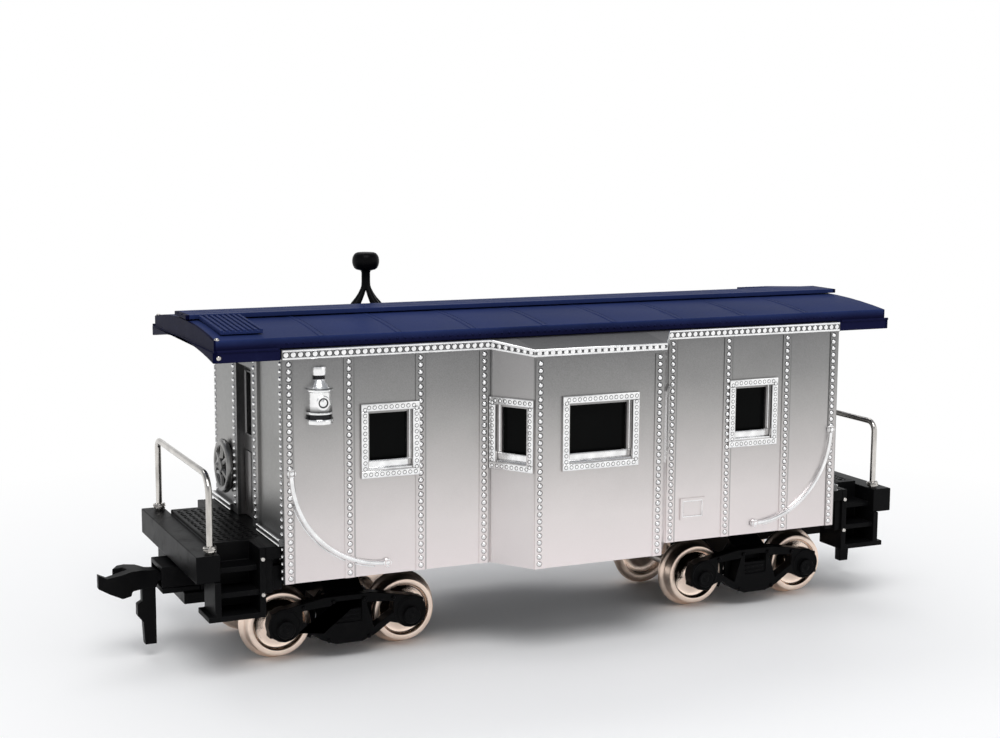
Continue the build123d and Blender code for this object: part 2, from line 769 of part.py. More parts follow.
# Kingpin, pressed up into the underframe and headed under the bolster.
def build_kingpin(sign):
    with BuildPart() as kingpin:
        with BuildSketch(Plane.XY.offset(kingpin_bottom)):
            with Locations((sign * truck_center, 0)):
                RegularPolygon(2.5, 12)
        extrude(amount=bolster_bottom - 0.1 - kingpin_bottom)
        with Locations((sign * truck_center, 0, kingpin_bottom)):
            Cylinder(
                kingpin_radius, floor_top - 0.3 - kingpin_bottom,
                align=(Align.CENTER, Align.CENTER, Align.MIN),
            )
    return kingpin.part


def build_axle(x):
    with BuildPart() as axle:
        with Locations(Plane(origin=(x, 0, axle_height), z_dir=(0, 1, 0))):
            Cylinder(axle_radius, 2 * axle_half_length)
    return axle.part


# Wheel with a round tread; its flange, dish and bore are cut with fewer faces.
def build_wheel(x, side):
    with BuildPart() as wheel:
        face_plane = Plane(origin=(x, side * wheel_face, axle_height), z_dir=(0, side, 0))
        with BuildSketch(face_plane):
            Circle(tread_radius)
        extrude(amount=-wheel_width)
        with BuildSketch(face_plane.offset(-wheel_width)):
            RegularPolygon(flange_radius, flange_sides)
        extrude(amount=flange_thickness)
        with BuildSketch(face_plane):
            RegularPolygon(tread_radius - rim_width, dish_sides)
        extrude(amount=-wheel_dish, mode=Mode.SUBTRACT)
        with BuildSketch(face_plane):
            RegularPolygon(axle_radius + 0.02, 8, major_radius=False)
        extrude(amount=-wheel_width, mode=Mode.SUBTRACT)
    return wheel.part


# Hook-and-horn coupler: its plan is cut by its side view. Lengths run outward from the pivot.
coupler_plan = [
    (-1.7, -1.3), (1.2, -1.6), (2.9, -1.15), (4.4, -1.15), (5.4, -2.9), (8.0, -3.3), (9.0, -1.7),
    (7.6, -1.5), (7.2, 0.1), (11.9, 1.9), (11.9, 3.1), (8.2, 2.6), (5.2, 1.15), (2.9, 1.15), (1.2, 1.6),
    (-1.7, 1.3),
]
coupler_side = [
    (-2.0, 11.4), (2.9, 11.4), (3.2, 10.5), (6.8, 10.45), (7.0, 9.8), (8.4, 9.7), (10.2, 10.6), (12.0, 11.7),
    (12.0, 13.75), (10.6, 12.95), (7.0, 13.4), (3.2, 13.1), (2.9, 12.9), (-2.0, 12.9),
]
tail_side = [
    (3.2, 13.0), (3.2, 2.0), (4.9, 2.0), (5.1, 5.4), (5.9, 6.4), (5.9, 8.1), (5.2, 8.5), (5.2, 13.0),
]


def build_coupler(sign):
    with BuildPart() as coupler:
        with BuildSketch(Plane.XY.offset(9.0)):
            with BuildLine():
                plan = [(sign * (pivot_x + out), sign * across) for out, across in coupler_plan]
                Polyline(*plan, close=True)
            make_face()
        extrude(amount=5)
        with BuildSketch(Plane.XZ.offset(-5)):
            with BuildLine():
                Polyline(*[(sign * (pivot_x + out), z) for out, z in coupler_side], close=True)
            make_face()
        extrude(amount=10, mode=Mode.INTERSECT)
        with BuildSketch(Plane.XZ.offset(-0.75)):
            with BuildLine():
                Polyline(*[(sign * (pivot_x + out), z) for out, z in tail_side], close=True)
            make_face()
        extrude(amount=1.5)
        with Locations((sign * pivot_x, 0, 9)):
            Cylinder(
                pivot_radius + running_clearance, 6,
                align=(Align.CENTER, Align.CENTER, Align.MIN), mode=Mode.SUBTRACT,
            )
    return coupler.part


def build_lid(sign):
    with BuildPart() as lid:
        lid_from = box_inner_x + 0.1
        with Locations((sign * (lid_from + box_outer_x) / 2, 0, box_bottom - seat_gap)):
            Box(box_outer_x - lid_from, 2 * box_half, 0.8, align=(Align.CENTER, Align.CENTER, Align.MAX))
    return lid.part


pieces = {
    "body_shell": body_shell.part,
    "glazing_near": glazing_near.part,
    "glazing_far": glazing_far.part,
    "glazing_ends": glazing_ends.part,
    "roof": roof.part,
    "roofwalk": roofwalk.part,
    "roof_grating_left": build_grating(-1),
    "roof_grating_right": build_grating(1),
    "smoke_jack": smoke_jack.part,
    "underframe": underframe.part,
    "ballast_weight": ballast_weight.part,
    "railing_left": build_railing(-1),
    "railing_right": build_railing(1),
}
step_table = [
    # name, end of the car, side of the car
    ("steps_left_near", -1, -1),
    ("steps_left_far", -1, 1),
    ("steps_right_near", 1, -1),
    ("steps_right_far", 1, 1),
]
for name, end, side in step_table:
    pieces[name] = build_steps(end, side)
for number, sign in ((1, -1), (2, 1)):
    pieces[f"truck_frame_{number}"] = build_truck(sign)
    pieces[f"kingpin_{number}"] = build_kingpin(sign)
    pieces[f"coupler_{number}"] = build_coupler(sign)
    pieces[f"coupler_lid_{number}"] = build_lid(sign)
axle_table = [
    # axle number, position along the car
    (1, -truck_center - half_base),
    (2, -truck_center + half_base),
    (3, truck_center - half_base),
    (4, truck_center + half_base),
]
for number, x in axle_table:
    pieces[f"axle_{number}"] = build_axle(x)
    pieces[f"wheel_{number}_near"] = build_wheel(x, -1)
    pieces[f"wheel_{number}_far"] = build_wheel(x, 1)

for name, piece in pieces.items():
    piece.label = name
    export_step(piece, f"parts/{name}.step")
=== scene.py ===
import json
import math

import bmesh
import bpy
from mathutils import Matrix, Vector


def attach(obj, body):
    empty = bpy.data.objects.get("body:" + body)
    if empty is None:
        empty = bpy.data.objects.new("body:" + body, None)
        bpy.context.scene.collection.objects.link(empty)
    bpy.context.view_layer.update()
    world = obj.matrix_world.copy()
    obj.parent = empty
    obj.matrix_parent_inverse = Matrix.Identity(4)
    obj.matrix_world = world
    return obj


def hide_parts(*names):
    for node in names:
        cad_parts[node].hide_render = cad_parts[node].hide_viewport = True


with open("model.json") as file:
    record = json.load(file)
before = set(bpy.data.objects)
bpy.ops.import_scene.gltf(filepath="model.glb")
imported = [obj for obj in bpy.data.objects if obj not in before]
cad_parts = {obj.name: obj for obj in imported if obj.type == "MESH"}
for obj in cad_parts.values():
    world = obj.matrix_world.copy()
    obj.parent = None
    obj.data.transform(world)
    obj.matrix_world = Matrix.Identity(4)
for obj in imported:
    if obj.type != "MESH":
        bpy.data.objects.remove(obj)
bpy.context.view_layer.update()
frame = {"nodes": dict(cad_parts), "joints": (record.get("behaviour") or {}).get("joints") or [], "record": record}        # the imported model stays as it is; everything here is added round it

mm = 0.001
both = (-1, 1)
scene = bpy.context.scene
nodesOf = frame["nodes"]
slotOf = {part["node"]: part["material_slot"] for part in frame["record"]["subparts"]}
jointPlace = {joint["name"]: [value / mm for value in joint["pos_m"]] for joint in frame["joints"]}
print("frame loaded:", len(nodesOf), "nodes")

# main lines of the car in mm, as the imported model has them
car = {
    "halfLength": 46.25, "halfWidth": 17.75, "sideTop": 46.65, "floorTop": 18.95,
    "bayRoot": 14.8, "bayFront": 10.6, "bayFace": 24.15, "bayFall": 1.0,
    "stripHeight": 1.5, "stripRaise": 0.3,
    "hoodEnd": 55.8, "hoodSide": 17.8, "roofSide": 17.3, "roofEdge": 46.7, "crown": 49.55,
    "archCenter": -66.21, "archRadius": 115.76,
    "halfBase": 9.65, "axleHeight": jointPlace["wheelset_1_roll"][2],
}


def maths(operation, flip=False):
    def added(self, other=0.0):
        first, second = (other, self) if flip else (self, other)
        kit = NodeKit(self.socket.id_data)
        return kit.node("ShaderNodeMath", {"operation": operation}, {0: first, 1: second})

    return added


# a socket that can be calculated with: each operator adds its Math node
class Link:
    def __init__(self, socket):
        self.socket = socket

    __add__ = __radd__ = maths("ADD")
    __sub__ = maths("SUBTRACT")
    __rsub__ = maths("SUBTRACT", flip=True)
    __mul__ = __rmul__ = maths("MULTIPLY")
    __truediv__ = maths("DIVIDE")
    __pow__ = maths("POWER")
    __mod__ = maths("MODULO")
    __gt__ = maths("GREATER_THAN")
    __lt__ = maths("LESS_THAN")
    __abs__ = maths("ABSOLUTE")
    atLeast = maths("MAXIMUM")
    atMost = maths("MINIMUM")

    def clamped(self):
        return self.atLeast(0.0).atMost(1.0)


# the nodes of one tree; colours are given as red, green and blue
class NodeKit:
    def __init__(self, tree):
        self.tree = tree

    def node(self, kind, settings=None, sockets=None, output=0):
        step = self.tree.nodes.new(kind)
        for name, value in (settings or {}).items():
            if name == "stops":
                self.setStops(step.color_ramp.elements, value)
            else:
                setattr(step, name, value)
        for name, value in (sockets or {}).items():
            if isinstance(value, Link):
                self.tree.links.new(value.socket, step.inputs[name])
            else:
                step.inputs[name].default_value = value
        return Link(step.outputs[output]) if step.outputs else None

    def setStops(self, elements, stops):
        # a new ramp has two elements already
        for index, (position, tone) in enumerate(stops):
            element = elements[index] if index < 2 else elements.new(position)
            element.position = position
            element.color = (*tone, 1.0)

    def ramp(self, factor, stops):
        return self.node("ShaderNodeValToRGB", {"stops": stops}, {"Fac": factor}, "Color")

    def mixColor(self, factor, *tones):
        first, second = (tone if isinstance(tone, Link) else (*tone, 1.0) for tone in tones)
        return self.node("ShaderNodeMix", {"data_type": "RGBA"}, {0: factor, 6: first, 7: second}, 2)

    def seenRays(self):
        # 1 for what the camera sees straight, in a mirror or through glass
        kinds = ("Is Camera Ray", "Is Glossy Ray", "Is Transmission Ray")
        return sum(self.node("ShaderNodeLightPath", output=kind) for kind in kinds).clamped()


class Paint(NodeKit):
    def __init__(self, name, **fixed):
        self.material = bpy.data.materials.new(name)
        self.material.use_nodes = True
        super().__init__(self.material.node_tree)
        self.shader = self.tree.nodes["Principled BSDF"]
        for socket, value in fixed.items():
            self.shader.inputs[socket.replace("_", " ")].default_value = value
        self.place = self.node("ShaderNodeTexCoord", output="Object")

    def noise(self, scale, detail, roughness, place=None):
        sockets = {"Scale": scale, "Detail": detail, "Roughness": roughness, "Vector": place or self.place}
        return self.node("ShaderNodeTexNoise", {}, sockets, "Fac")

    def axis(self, name):
        # one coordinate of the surface, in mm
        return self.node("ShaderNodeSeparateXYZ", {}, {0: self.place}, name) / mm

    def attribute(self, name):
        return self.node("ShaderNodeAttribute", {"attribute_name": name}, output="Fac")

    def feed(self, socket, link):
        self.tree.links.new(link.socket, self.shader.inputs[socket])

    def finish(self, base, roughness, grain=None, strength=0.0, depth=0.0):
        # the depth of the grain is in mm
        self.feed("Base Color", base)
        self.feed("Roughness", roughness)
        if grain:
            sockets = {"Height": grain, "Strength": strength, "Distance": depth * mm}
            self.feed("Normal", self.node("ShaderNodeBump", {}, sockets, "Normal"))
        return self.material


def grey(tone):
    return (tone, tone, tone)


# finishes; a noise is given by its scale, detail and roughness, and lengths are in mm
silverLook = {
    "metal": 0.92, "lidMetal": 0.17, "roughness": 0.34,
    "cloud": (90.0, 4.0, 0.6), "flake": (9000.0, 1.0, 0.4), "grain": (1700.0, 3.0, 0.6),
    "foot": 13.5, "top": 46.7, "bayWall": 18.1, "lid": 45.2, "slantFrom": 10.75, "slantTo": 14.8,
    "darkerFrom": 16.0, "darkerOver": 30.0, "endFrom": 46.1, "doorFrom": 44.8, "doorHalf": 5.2,
    "lapEdges": (-44.7, -35.75, -24.95, -15.0, 16.5, 26.45, 37.25, 44.7), "edgeHalf": 0.16,
    # painted shade and reflection: lighter at the foot of the wall, where it mirrors the pale floor, darker
    # up to the eaves
    "side": [
        (0.0, (0.83, 0.755, 0.75)), (0.22, (0.73, 0.68, 0.67)), (0.5, (0.47, 0.45, 0.44)),
        (0.78, (0.22, 0.217, 0.213)), (1.0, (0.115, 0.115, 0.116)),
    ],
    "end": [
        (0.0, grey(0.015)), (0.19, (0.03, 0.03, 0.031)), (0.21, grey(0.12)), (0.42, (0.24, 0.235, 0.225)),
        (0.8, (0.17, 0.17, 0.165)), (1.0, grey(0.13)),
    ],
}


def makeSilver():
    look = silverLook
    paint = Paint("silverCoat", Specular_IOR_Level=0.02)
    along, across, up = (paint.axis(name) for name in "XYZ")
    outward, sideways = abs(along), abs(across)
    height = (up - look["foot"]) / (look["top"] - look["foot"])
    cloud, flake, grain = (paint.noise(*look[name]) for name in ("cloud", "flake", "grain"))
    # painted shadow lines along the panel laps
    lapShadeLine = sum(abs(along - edge) < look["edgeHalf"] for edge in look["lapEdges"]).clamped()
    bay = sideways > look["bayWall"]
    lid = bay * (up > look["lid"])
    # the bay's slants, which take a painted highlight
    slantHighlight = bay * (outward > look["slantFrom"]) * (outward < look["slantTo"])
    # the wall's colour by height is painted shade: light at the foot, dark under the eaves
    base = paint.ramp((height + (cloud - 0.5) * 0.12).clamped(), look["side"])
    for mask, tone in (
        # a fine painted shadow line where each panel lap steps down
        (lapShadeLine * 0.45, grey(0.05)),
        # the sides turn a little darker away from the bay; the bay's slants get a painted highlight where
        # they catch more light, and its lid is darker and less metallic
        (((outward - look["darkerFrom"]) / look["darkerOver"]).clamped() * 0.15, grey(0.25)),
        (slantHighlight * 0.25, (0.75, 0.72, 0.72)),
        (lid * 0.8, grey(0.02)),
        # the end walls stand in the shade of the roof and mirror the dark platform
        (outward > look["endFrom"], paint.ramp(height, look["end"])),
        # painted shade in the door recess of each end wall
        ((outward > look["doorFrom"]) * (sideways < look["doorHalf"]) * 0.8, grey(0.035)),
        (flake * 0.18, grey(0.92)),
    ):
        base = paint.mixColor(mask, base, tone)
    paint.feed("Metallic", look["metal"] - lid * (look["metal"] - look["lidMetal"]))
    roughness = look["roughness"] + (grain - 0.5) * 0.16 + (cloud - 0.5) * 0.08
    return paint.finish(base, roughness, grain + flake * 0.5, 0.16, 0.04)


rivetLook = {
    "spots": (700.0, 2.0, 0.5), "grain": (2600.0, 2.0, 0.5), "foot": 13.5, "span": 33.0,
    # near-white tones: a painted highlight on bright trim and on the crowns of heads
    "wire": [(0.3, grey(0.82)), (0.7, grey(1.0))], "crown": [(0.3, grey(0.86)), (0.7, grey(1.0))],
    # the painted shade at the foot of a rivet fades down the side, where everything mirrors the pale floor
    "shade": [(0.08, (0.42, 0.39, 0.385)), (0.3, (0.16, 0.15, 0.148)), (0.62, (0.025, 0.025, 0.027))],
}


def makeHighlitSilver():
    # a glossier copy of the silver coat whose near-white tone is a painted highlight
    paint = Paint("rivetSilver", Metallic=1.0)
    spots = paint.noise(*rivetLook["spots"])
    grain = paint.noise(*rivetLook["grain"])
    return paint.finish(paint.ramp(spots, rivetLook["wire"]), 0.14 + spots * 0.16, grain, 0.2, 0.03)


def makeHeadSilver():
    # a painted highlight on the crown and a painted shade where it meets the wall
    paint = Paint("headSilver", Metallic=1.0)
    spots = paint.noise(*rivetLook["spots"])
    height = (paint.axis("Z") - rivetLook["foot"]) / rivetLook["span"]
    foot, crown = paint.ramp(height, rivetLook["shade"]), paint.ramp(spots, rivetLook["crown"])
    base = paint.mixColor((paint.attribute("highlightShare") * 3.0).clamped(), foot, crown)
    return paint.finish(base, 0.16 + spots * 0.14)


navyLook = {
    "cloud": (60.0, 4.0, 0.6), "grain": (2400.0, 3.0, 0.65), "dust": (420.0, 5.0, 0.7),
    "archFrom": 45.0, "archOver": 4.5, "hoodEnd": 55.25,
    "arch": [(0.3, (0.016, 0.027, 0.092)), (0.75, (0.023, 0.036, 0.122))],
    # the fascia and hood tones are painted shade; the dusty tone is dust
    "fascia": (0.0075, 0.0085, 0.036), "hood": (0.0022, 0.003, 0.022), "dusty": (0.03, 0.038, 0.1),
}


def makeNavy():
    look = navyLook
    paint = Paint("navyMoulding", Specular_IOR_Level=0.015)
    cloud, grain, dust = (paint.noise(*look[name]) for name in ("cloud", "grain", "dust"))
    # painted shade: darker on the fascia and the hoods' ends than on the arch, which takes the light from
    # above
    height = (paint.axis("Z") - look["archFrom"]) / look["archOver"] + (cloud - 0.5) * 0.1
    litArch = paint.ramp(height, [(0.5, grey(0.0)), (0.72, grey(1.0))])
    base = paint.mixColor(litArch, look["fascia"], paint.ramp(cloud, look["arch"]))
    base = paint.mixColor(abs(paint.axis("X")) > look["hoodEnd"], base, look["hood"])
    base = paint.mixColor((dust - 0.55).clamped() * 1.4 * 0.5, base, look["dusty"])
    return paint.finish(base, 0.44 + (cloud - 0.5) * 0.15 + (grain - 0.5) * 0.1, grain, 0.14, 0.04)


blackLook = {
    "cloud": (85.0, 4.0, 0.6), "grain": (1900.0, 3.0, 0.65), "dust": (260.0, 6.0, 0.75),
    "moulding": [(0.3, (0.0024, 0.0024, 0.0027)), (0.75, (0.005, 0.005, 0.0054))],
    "dusty": (0.016, 0.0155, 0.015), "haze": (140.0, 3.0, 0.6),
    "pane": [(0.3, (0.0012, 0.0014, 0.0014)), (0.8, (0.0024, 0.0026, 0.0026))],
}


def makeBlack():
    paint = Paint("blackMoulding", Specular_IOR_Level=0.05)
    cloud, grain, dust = (paint.noise(*blackLook[name]) for name in ("cloud", "grain", "dust"))
    dust = (dust - 0.52).clamped() * 1.1
    base = paint.mixColor(dust, paint.ramp(cloud, blackLook["moulding"]), blackLook["dusty"])
    return paint.finish(base, 0.36 + (cloud - 0.5) * 0.2 + dust * 0.5, grain, 0.2, 0.05)


def makePane():
    paint = Paint("blackPane", Specular_IOR_Level=0.045)
    haze = paint.noise(*blackLook["haze"])
    return paint.finish(paint.ramp(haze, blackLook["pane"]), 0.08 + haze * 0.12)


wheelLook = {
    "dark": (0.82, 0.645, 0.535), "light": (1.0, 0.825, 0.7), "roughness": 0.32,
    "cloud": (260.0, 4.0, 0.6), "ringScale": 9.0, "dishRadius": 3.95,
}


def makeWheelNickel():
    # the rings of the lathe follow each vertex's own distance from the axle
    look = wheelLook
    paint = Paint("wheelNickel", Metallic=1.0)
    spin = paint.attribute("spin")
    sockets = {"W": spin * look["ringScale"], "Detail": 3.0}
    rings = paint.node("ShaderNodeTexNoise", {"noise_dimensions": "1D"}, sockets, "Fac")
    cloud = paint.noise(*look["cloud"])
    base = paint.ramp(cloud, [(0.3, look["dark"]), (0.72, look["light"])])
    # the dish inside the tread is polished, so it mirrors the frame before it
    polish = 1.0 - (spin < look["dishRadius"]) * 0.75
    roughness = (look["roughness"] + (rings - 0.5) * 0.14 + (cloud - 0.5) * 0.12) * polish
    return paint.finish(paint.mixColor(rings * 0.3, base, look["light"]), roughness, rings, 0.25, 0.03)


drawnLooks = [
    # name, darkest, lightest, roughness, stretch of the drawing marks
    ("axleSteel", (0.33, 0.32, 0.31), (0.5, 0.48, 0.46), 0.3, (2500.0, 60.0, 2500.0)),
    ("ballastSteel", (0.22, 0.21, 0.2), (0.34, 0.33, 0.32), 0.42, (60.0, 1800.0, 1800.0)),
    ("brightWire", (0.46, 0.44, 0.415), (0.74, 0.71, 0.67), 0.22, (3000.0, 300.0, 300.0)),
]


def makeDrawn(name, dark, light, roughness, stretch):
    paint = Paint(name, Metallic=1.0)
    stretched = paint.node("ShaderNodeMapping", {}, {"Vector": paint.place, "Scale": stretch})
    lines = paint.noise(1.0, 3.0, 0.6, stretched)
    cloud = paint.noise(300.0, 3.0, 0.6)
    base = paint.ramp(lines * 0.6 + cloud * 0.4, [(0.35, dark), (0.65, light)])
    return paint.finish(base, roughness + (lines - 0.5) * 0.2, lines, 0.2, 0.02)


silverCoat = makeSilver()
rivetSilver = makeHighlitSilver()
headSilver = makeHeadSilver()
navyMoulding = makeNavy()
blackMoulding = makeBlack()
blackPane = makePane()
wheelNickel = makeWheelNickel()
axleSteel, ballastSteel, brightWire = (makeDrawn(*look) for look in drawnLooks)
slotPaint = {
    "silver_plastic": silverCoat, "blue_plastic": navyMoulding, "black_plastic": blackMoulding,
    "dark_panes": blackPane, "ballast_steel": ballastSteel, "bright_wire": brightWire,
    "axle_steel": axleSteel, "wheel_metal": wheelNickel,
}
paintSlot = {paint.name: slotName for slotName, paint in slotPaint.items()}
paintSlot[rivetSilver.name] = paintSlot[headSilver.name] = "silver_plastic"
for nodeName, node in nodesOf.items():
    paint = slotPaint[slotOf[nodeName]]
    for holder in node.material_slots:
        holder.material = paint
    if not node.material_slots:
        node.data.materials.append(paint)
print("finishes made and given to the packed nodes")


# mesh helpers; everything is drawn in mm and scaled when its mesh is finished
def mirrored(point):
    return Vector((point[0], -point[1], point[2]))


def turned(point):
    return Vector((-point[0], -point[1], point[2]))


def axisPlace(origin, direction):
    return Matrix.Translation(Vector(origin)) @ Vector(direction).to_track_quat("Z", "Y").to_matrix().to_4x4()


def arc(first, last, steps):
    # cosines and sines from one angle in degrees to another
    turns = [math.radians(first + (last - first) * step / steps) for step in range(steps + 1)]
    return [(math.cos(turn), math.sin(turn)) for turn in turns]


def corners(wide, tall):
    return ((-wide, -tall), (wide, -tall), (wide, tall), (-wide, tall))


def skin(mesh, rings, closed):
    # faces from ring to ring, where a pole is a ring of one, and over the open ends
    pairs = list(zip(rings, rings[1:])) + ([(rings[-1], rings[0])] if closed else [])
    for lower, upper in pairs:
        count = max(len(lower), len(upper))
        for number in range(count):
            after = (number + 1) % count
            spots = ((lower, number), (lower, after), (upper, after), (upper, number))
            mesh.faces.new(tuple(dict.fromkeys(ring[spot % len(ring)] for ring, spot in spots)))
    if not closed:
        for ring in (rings[0][::-1], rings[-1]):
            if len(ring) > 1:
                mesh.faces.new(ring)


def lathe(mesh, profile, place, steps, closed=False):
    rings = []
    for radius, along in profile:
        circle = arc(0, 360, steps)[:-1] if radius > 1e-6 else [(0, 0)]
        points = [place @ Vector((radius * cos, radius * sin, along)) for cos, sin in circle]
        rings.append([mesh.verts.new(point) for point in points])
    skin(mesh, rings, closed)


def tube(mesh, points, radius, sides=8, closed=False):
    points = [Vector(point) for point in points]
    count = len(points)
    radii = radius if isinstance(radius, list) else [radius] * count
    rings = []
    for number, point in enumerate(points):
        before = points[number - 1] if number or closed else point
        after = points[(number + 1) % count] if number < count - 1 or closed else point
        tangent = (after - before).normalized()
        if not rings:
            up = tangent.orthogonal().normalized()
        up = (up - tangent * up.dot(tangent)).normalized()
        across = tangent.cross(up)
        rings.append([
            mesh.verts.new(point + (up * cos + across * sin) * radii[number])
            for cos, sin in arc(0, 360, sides)[:-1]
        ])
    skin(mesh, rings, closed)


def rodLoop(mesh, points, radius):
    for first, second in zip(points, points[1:] + points[:1]):
        tube(mesh, [first, second], radius)


def block(mesh, center, size, bevel, place=Matrix()):
    matrix = place @ Matrix.Translation(Vector(center)) @ Matrix.Diagonal((*size, 1.0))
    made = bmesh.ops.create_cube(mesh, size=1.0, matrix=matrix)
    edges = {edge for vert in made["verts"] for edge in vert.link_edges}
    bmesh.ops.bevel(
        mesh, geom=list(edges), offset=bevel, segments=2, profile=0.5, affect="EDGES", clamp_overlap=True,
    )


def linked(name, data):
    made = bpy.data.objects.new(name, data)
    scene.collection.objects.link(made)
    return made


def toData(name, mesh):
    data = bpy.data.meshes.new(name)
    mesh.to_mesh(data)
    mesh.free()
    return data


def drawnData(name, mesh):
    bmesh.ops.recalc_face_normals(mesh, faces=mesh.faces[:])
    mesh.transform(Matrix.Scale(mm, 4))
    return toData(name, mesh)


def smooth(data, sharp=None):
    data.polygons.foreach_set("use_smooth", [True] * len(data.polygons))
    if sharp:
        data.set_sharp_from_angle(angle=math.radians(sharp))


def pointValues(data, name, values):
    data.attributes.new(name, "FLOAT", "POINT").data.foreach_set("value", values)


def evaluated(holder):
    # the plain mesh that an object's modifiers make; the object itself goes
    data = bpy.data.meshes.new_from_object(holder.evaluated_get(bpy.context.evaluated_depsgraph_get()))
    bpy.data.objects.remove(holder)
    return data


def addPiece(name, data, paint, body="car", hides=()):
    data.name = name
    data.materials.clear()
    data.materials.append(paint)
    piece = linked(name, data)
    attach(piece, body)
    if hides:
        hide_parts(*hides)


def finishPiece(name, mesh, paint, body="car", hides=(), sharp=40):
    data = drawnData(name, mesh)
    smooth(data, sharp)
    addPiece(name, data, paint, body, hides)
    return data


# a tree of geometry nodes whose inputs are known by their labels
class Growth(NodeKit):
    def __init__(self, name, **inputs):
        super().__init__(bpy.data.node_groups.new(name, "GeometryNodeTree"))
        self.keys = {}
        self.tree.interface.new_socket(name="Geometry", in_out="INPUT", socket_type="NodeSocketGeometry")
        for label, kind in inputs.items():
            made = self.tree.interface.new_socket(name=label, in_out="INPUT", socket_type="NodeSocket" + kind)
            self.keys[label] = made.identifier
        self.tree.interface.new_socket(name="Geometry", in_out="OUTPUT", socket_type="NodeSocketGeometry")
        self.entry = self.node("NodeGroupInput").socket.node

    def given(self, label):
        return Link(self.entry.outputs[label])

    def end(self, points, shape, **placing):
        # the shape stands on every point
        form = self.node("GeometryNodeObjectInfo", {}, {"Object": self.given(shape)}, "Geometry")
        many = self.node("GeometryNodeInstanceOnPoints", {}, {"Points": points, "Instance": form, **placing})
        whole = self.node("GeometryNodeRealizeInstances", {}, {"Geometry": many})
        sockets = {"Geometry": whole, "Material": self.given("Finish")}
        self.node("NodeGroupOutput", {}, {0: self.node("GeometryNodeSetMaterial", {}, sockets)})

    def grow(self, carrier, **values):
        modifier = carrier.modifiers.new("growth", "NODES")
        modifier.node_group = self.tree
        for label, value in values.items():
            modifier[self.keys[label]] = value
        return evaluated(carrier)


def makeRivetTree():
    # rows of edges become rows of heads that face as the row's attribute says
    growth = Growth("rivetRows", Head="Object", Pitch="Float", Size="Float", Finish="Material")
    row = growth.node("GeometryNodeMeshToCurve", {}, {"Mesh": growth.given("Geometry")})
    sockets = {"Curve": row, "Length": growth.given("Pitch")}
    spaced = growth.node("GeometryNodeResampleCurve", {"mode": "LENGTH"}, sockets)
    kind = {"data_type": "FLOAT_VECTOR"}
    facing = growth.node("GeometryNodeInputNamedAttribute", kind, {"Name": "facing"}, "Attribute")
    tilt = growth.node("FunctionNodeAlignRotationToVector", {"axis": "Z"}, {"Vector": facing})
    growth.end(spaced, "Head", Rotation=tilt, Scale=growth.given("Size"))
    return growth


def makeTreadTree():
    # a field of short bars that lie crosswise by turns
    growth = Growth(
        "treadPlate", Bar="Object", Length="Float", Width="Float", Rows="Int", Columns="Int",
        Middle="Vector", Finish="Material",
    )
    field = growth.node("GeometryNodeMeshGrid", {}, {
        "Size X": growth.given("Length"), "Size Y": growth.given("Width"),
        "Vertices X": growth.given("Rows"), "Vertices Y": growth.given("Columns"),
    })
    sockets = {"Geometry": field, "Translation": growth.given("Middle")}
    moved = growth.node("GeometryNodeTransform", {}, sockets)
    crossed = growth.node("GeometryNodeInputIndex") % 2.0
    turn = growth.node("ShaderNodeCombineXYZ", {}, {"Z": crossed * math.radians(90) + math.radians(45)})
    growth.end(moved, "Bar", Rotation=turn)
    return growth


# rivets
rivetPlan = {
    "head": [
        (0.45, -0.06), (0.45, 0.012), (0.35, 0.02), (0.305, 0.05), (0.29, 0.1), (0.22, 0.18), (0.11, 0.225),
        (0, 0.235),
    ],
    "flatHead": [(0.52, -0.06), (0.52, 0.01), (0.4, 0.014), (0.35, 0.04), (0.18, 0.068), (0, 0.075)],
    "sides": 9, "crownShare": 0.7,
    "lapColumns": (-45.25, -36.5, -25.7, -15.75, 15.75, 25.7, 36.5, 45.25), "bayColumns": (-9.8, 9.8),
    "lapRaise": 0.14, "foot": 14.3, "top": 44.55, "bayTop": 43.65,
    "stripEnd": 0.6, "stripInset": 0.5, "stripTilt": 0.25, "slantShares": (0.08, 0.92),
    "doorRaise": 0.35, "doorY": 5.4, "doorFoot": 20.6, "doorTop": 43.6, "lintel": 44.7,
    "cornerY": 17.1, "cornerTop": 44.6, "eaveHeight": 47.45, "eaveEnd": 1.0,
}
windowPlan = {"sill": 28.8, "border": 1.1, "raise": 0.46}
slantX = car["bayRoot"] - car["bayFront"]
slantY = car["bayFace"] - car["halfWidth"]
slantMid = ((car["bayRoot"] + car["bayFront"]) / 2, (car["halfWidth"] + car["bayFace"]) / 2)
windowTable = [
    # origin x, origin y, along, normal, opening width, opening height
    (-30.35, -car["halfWidth"], (1, 0, 0), (0, -1, 0), 6.7, 8.5),
    (30.35, -car["halfWidth"], (1, 0, 0), (0, -1, 0), 6.7, 8.5),
    (0, -car["bayFace"], (1, 0, 0), (0, -1, 0), 10.4, 8.8),
    (-slantMid[0], -slantMid[1], (slantX, -slantY, 0), (-slantY, -slantX, 0), 5.3, 8.5),
    (slantMid[0], -slantMid[1], (slantX, slantY, 0), (slantY, -slantX, 0), 5.3, 8.5),
]


def windowPoint(window, across, up, out):
    x, y, along, normal = window[:4]
    steps = (Vector(along).normalized() * across, Vector((0, 0, up)), Vector(normal).normalized() * out)
    return sum(steps, Vector((x, y, windowPlan["sill"] + window[5] / 2)))


# a row of rivets is its points, the way that the heads face, and whether it closes on itself
def upright(x, y, foot, top, facing):
    return ([(x, y, foot), (x, y, top)], facing, False)


def doubled(rows, change):
    return rows + [([change(point) for point in row], change(facing), closed) for row, facing, closed in rows]


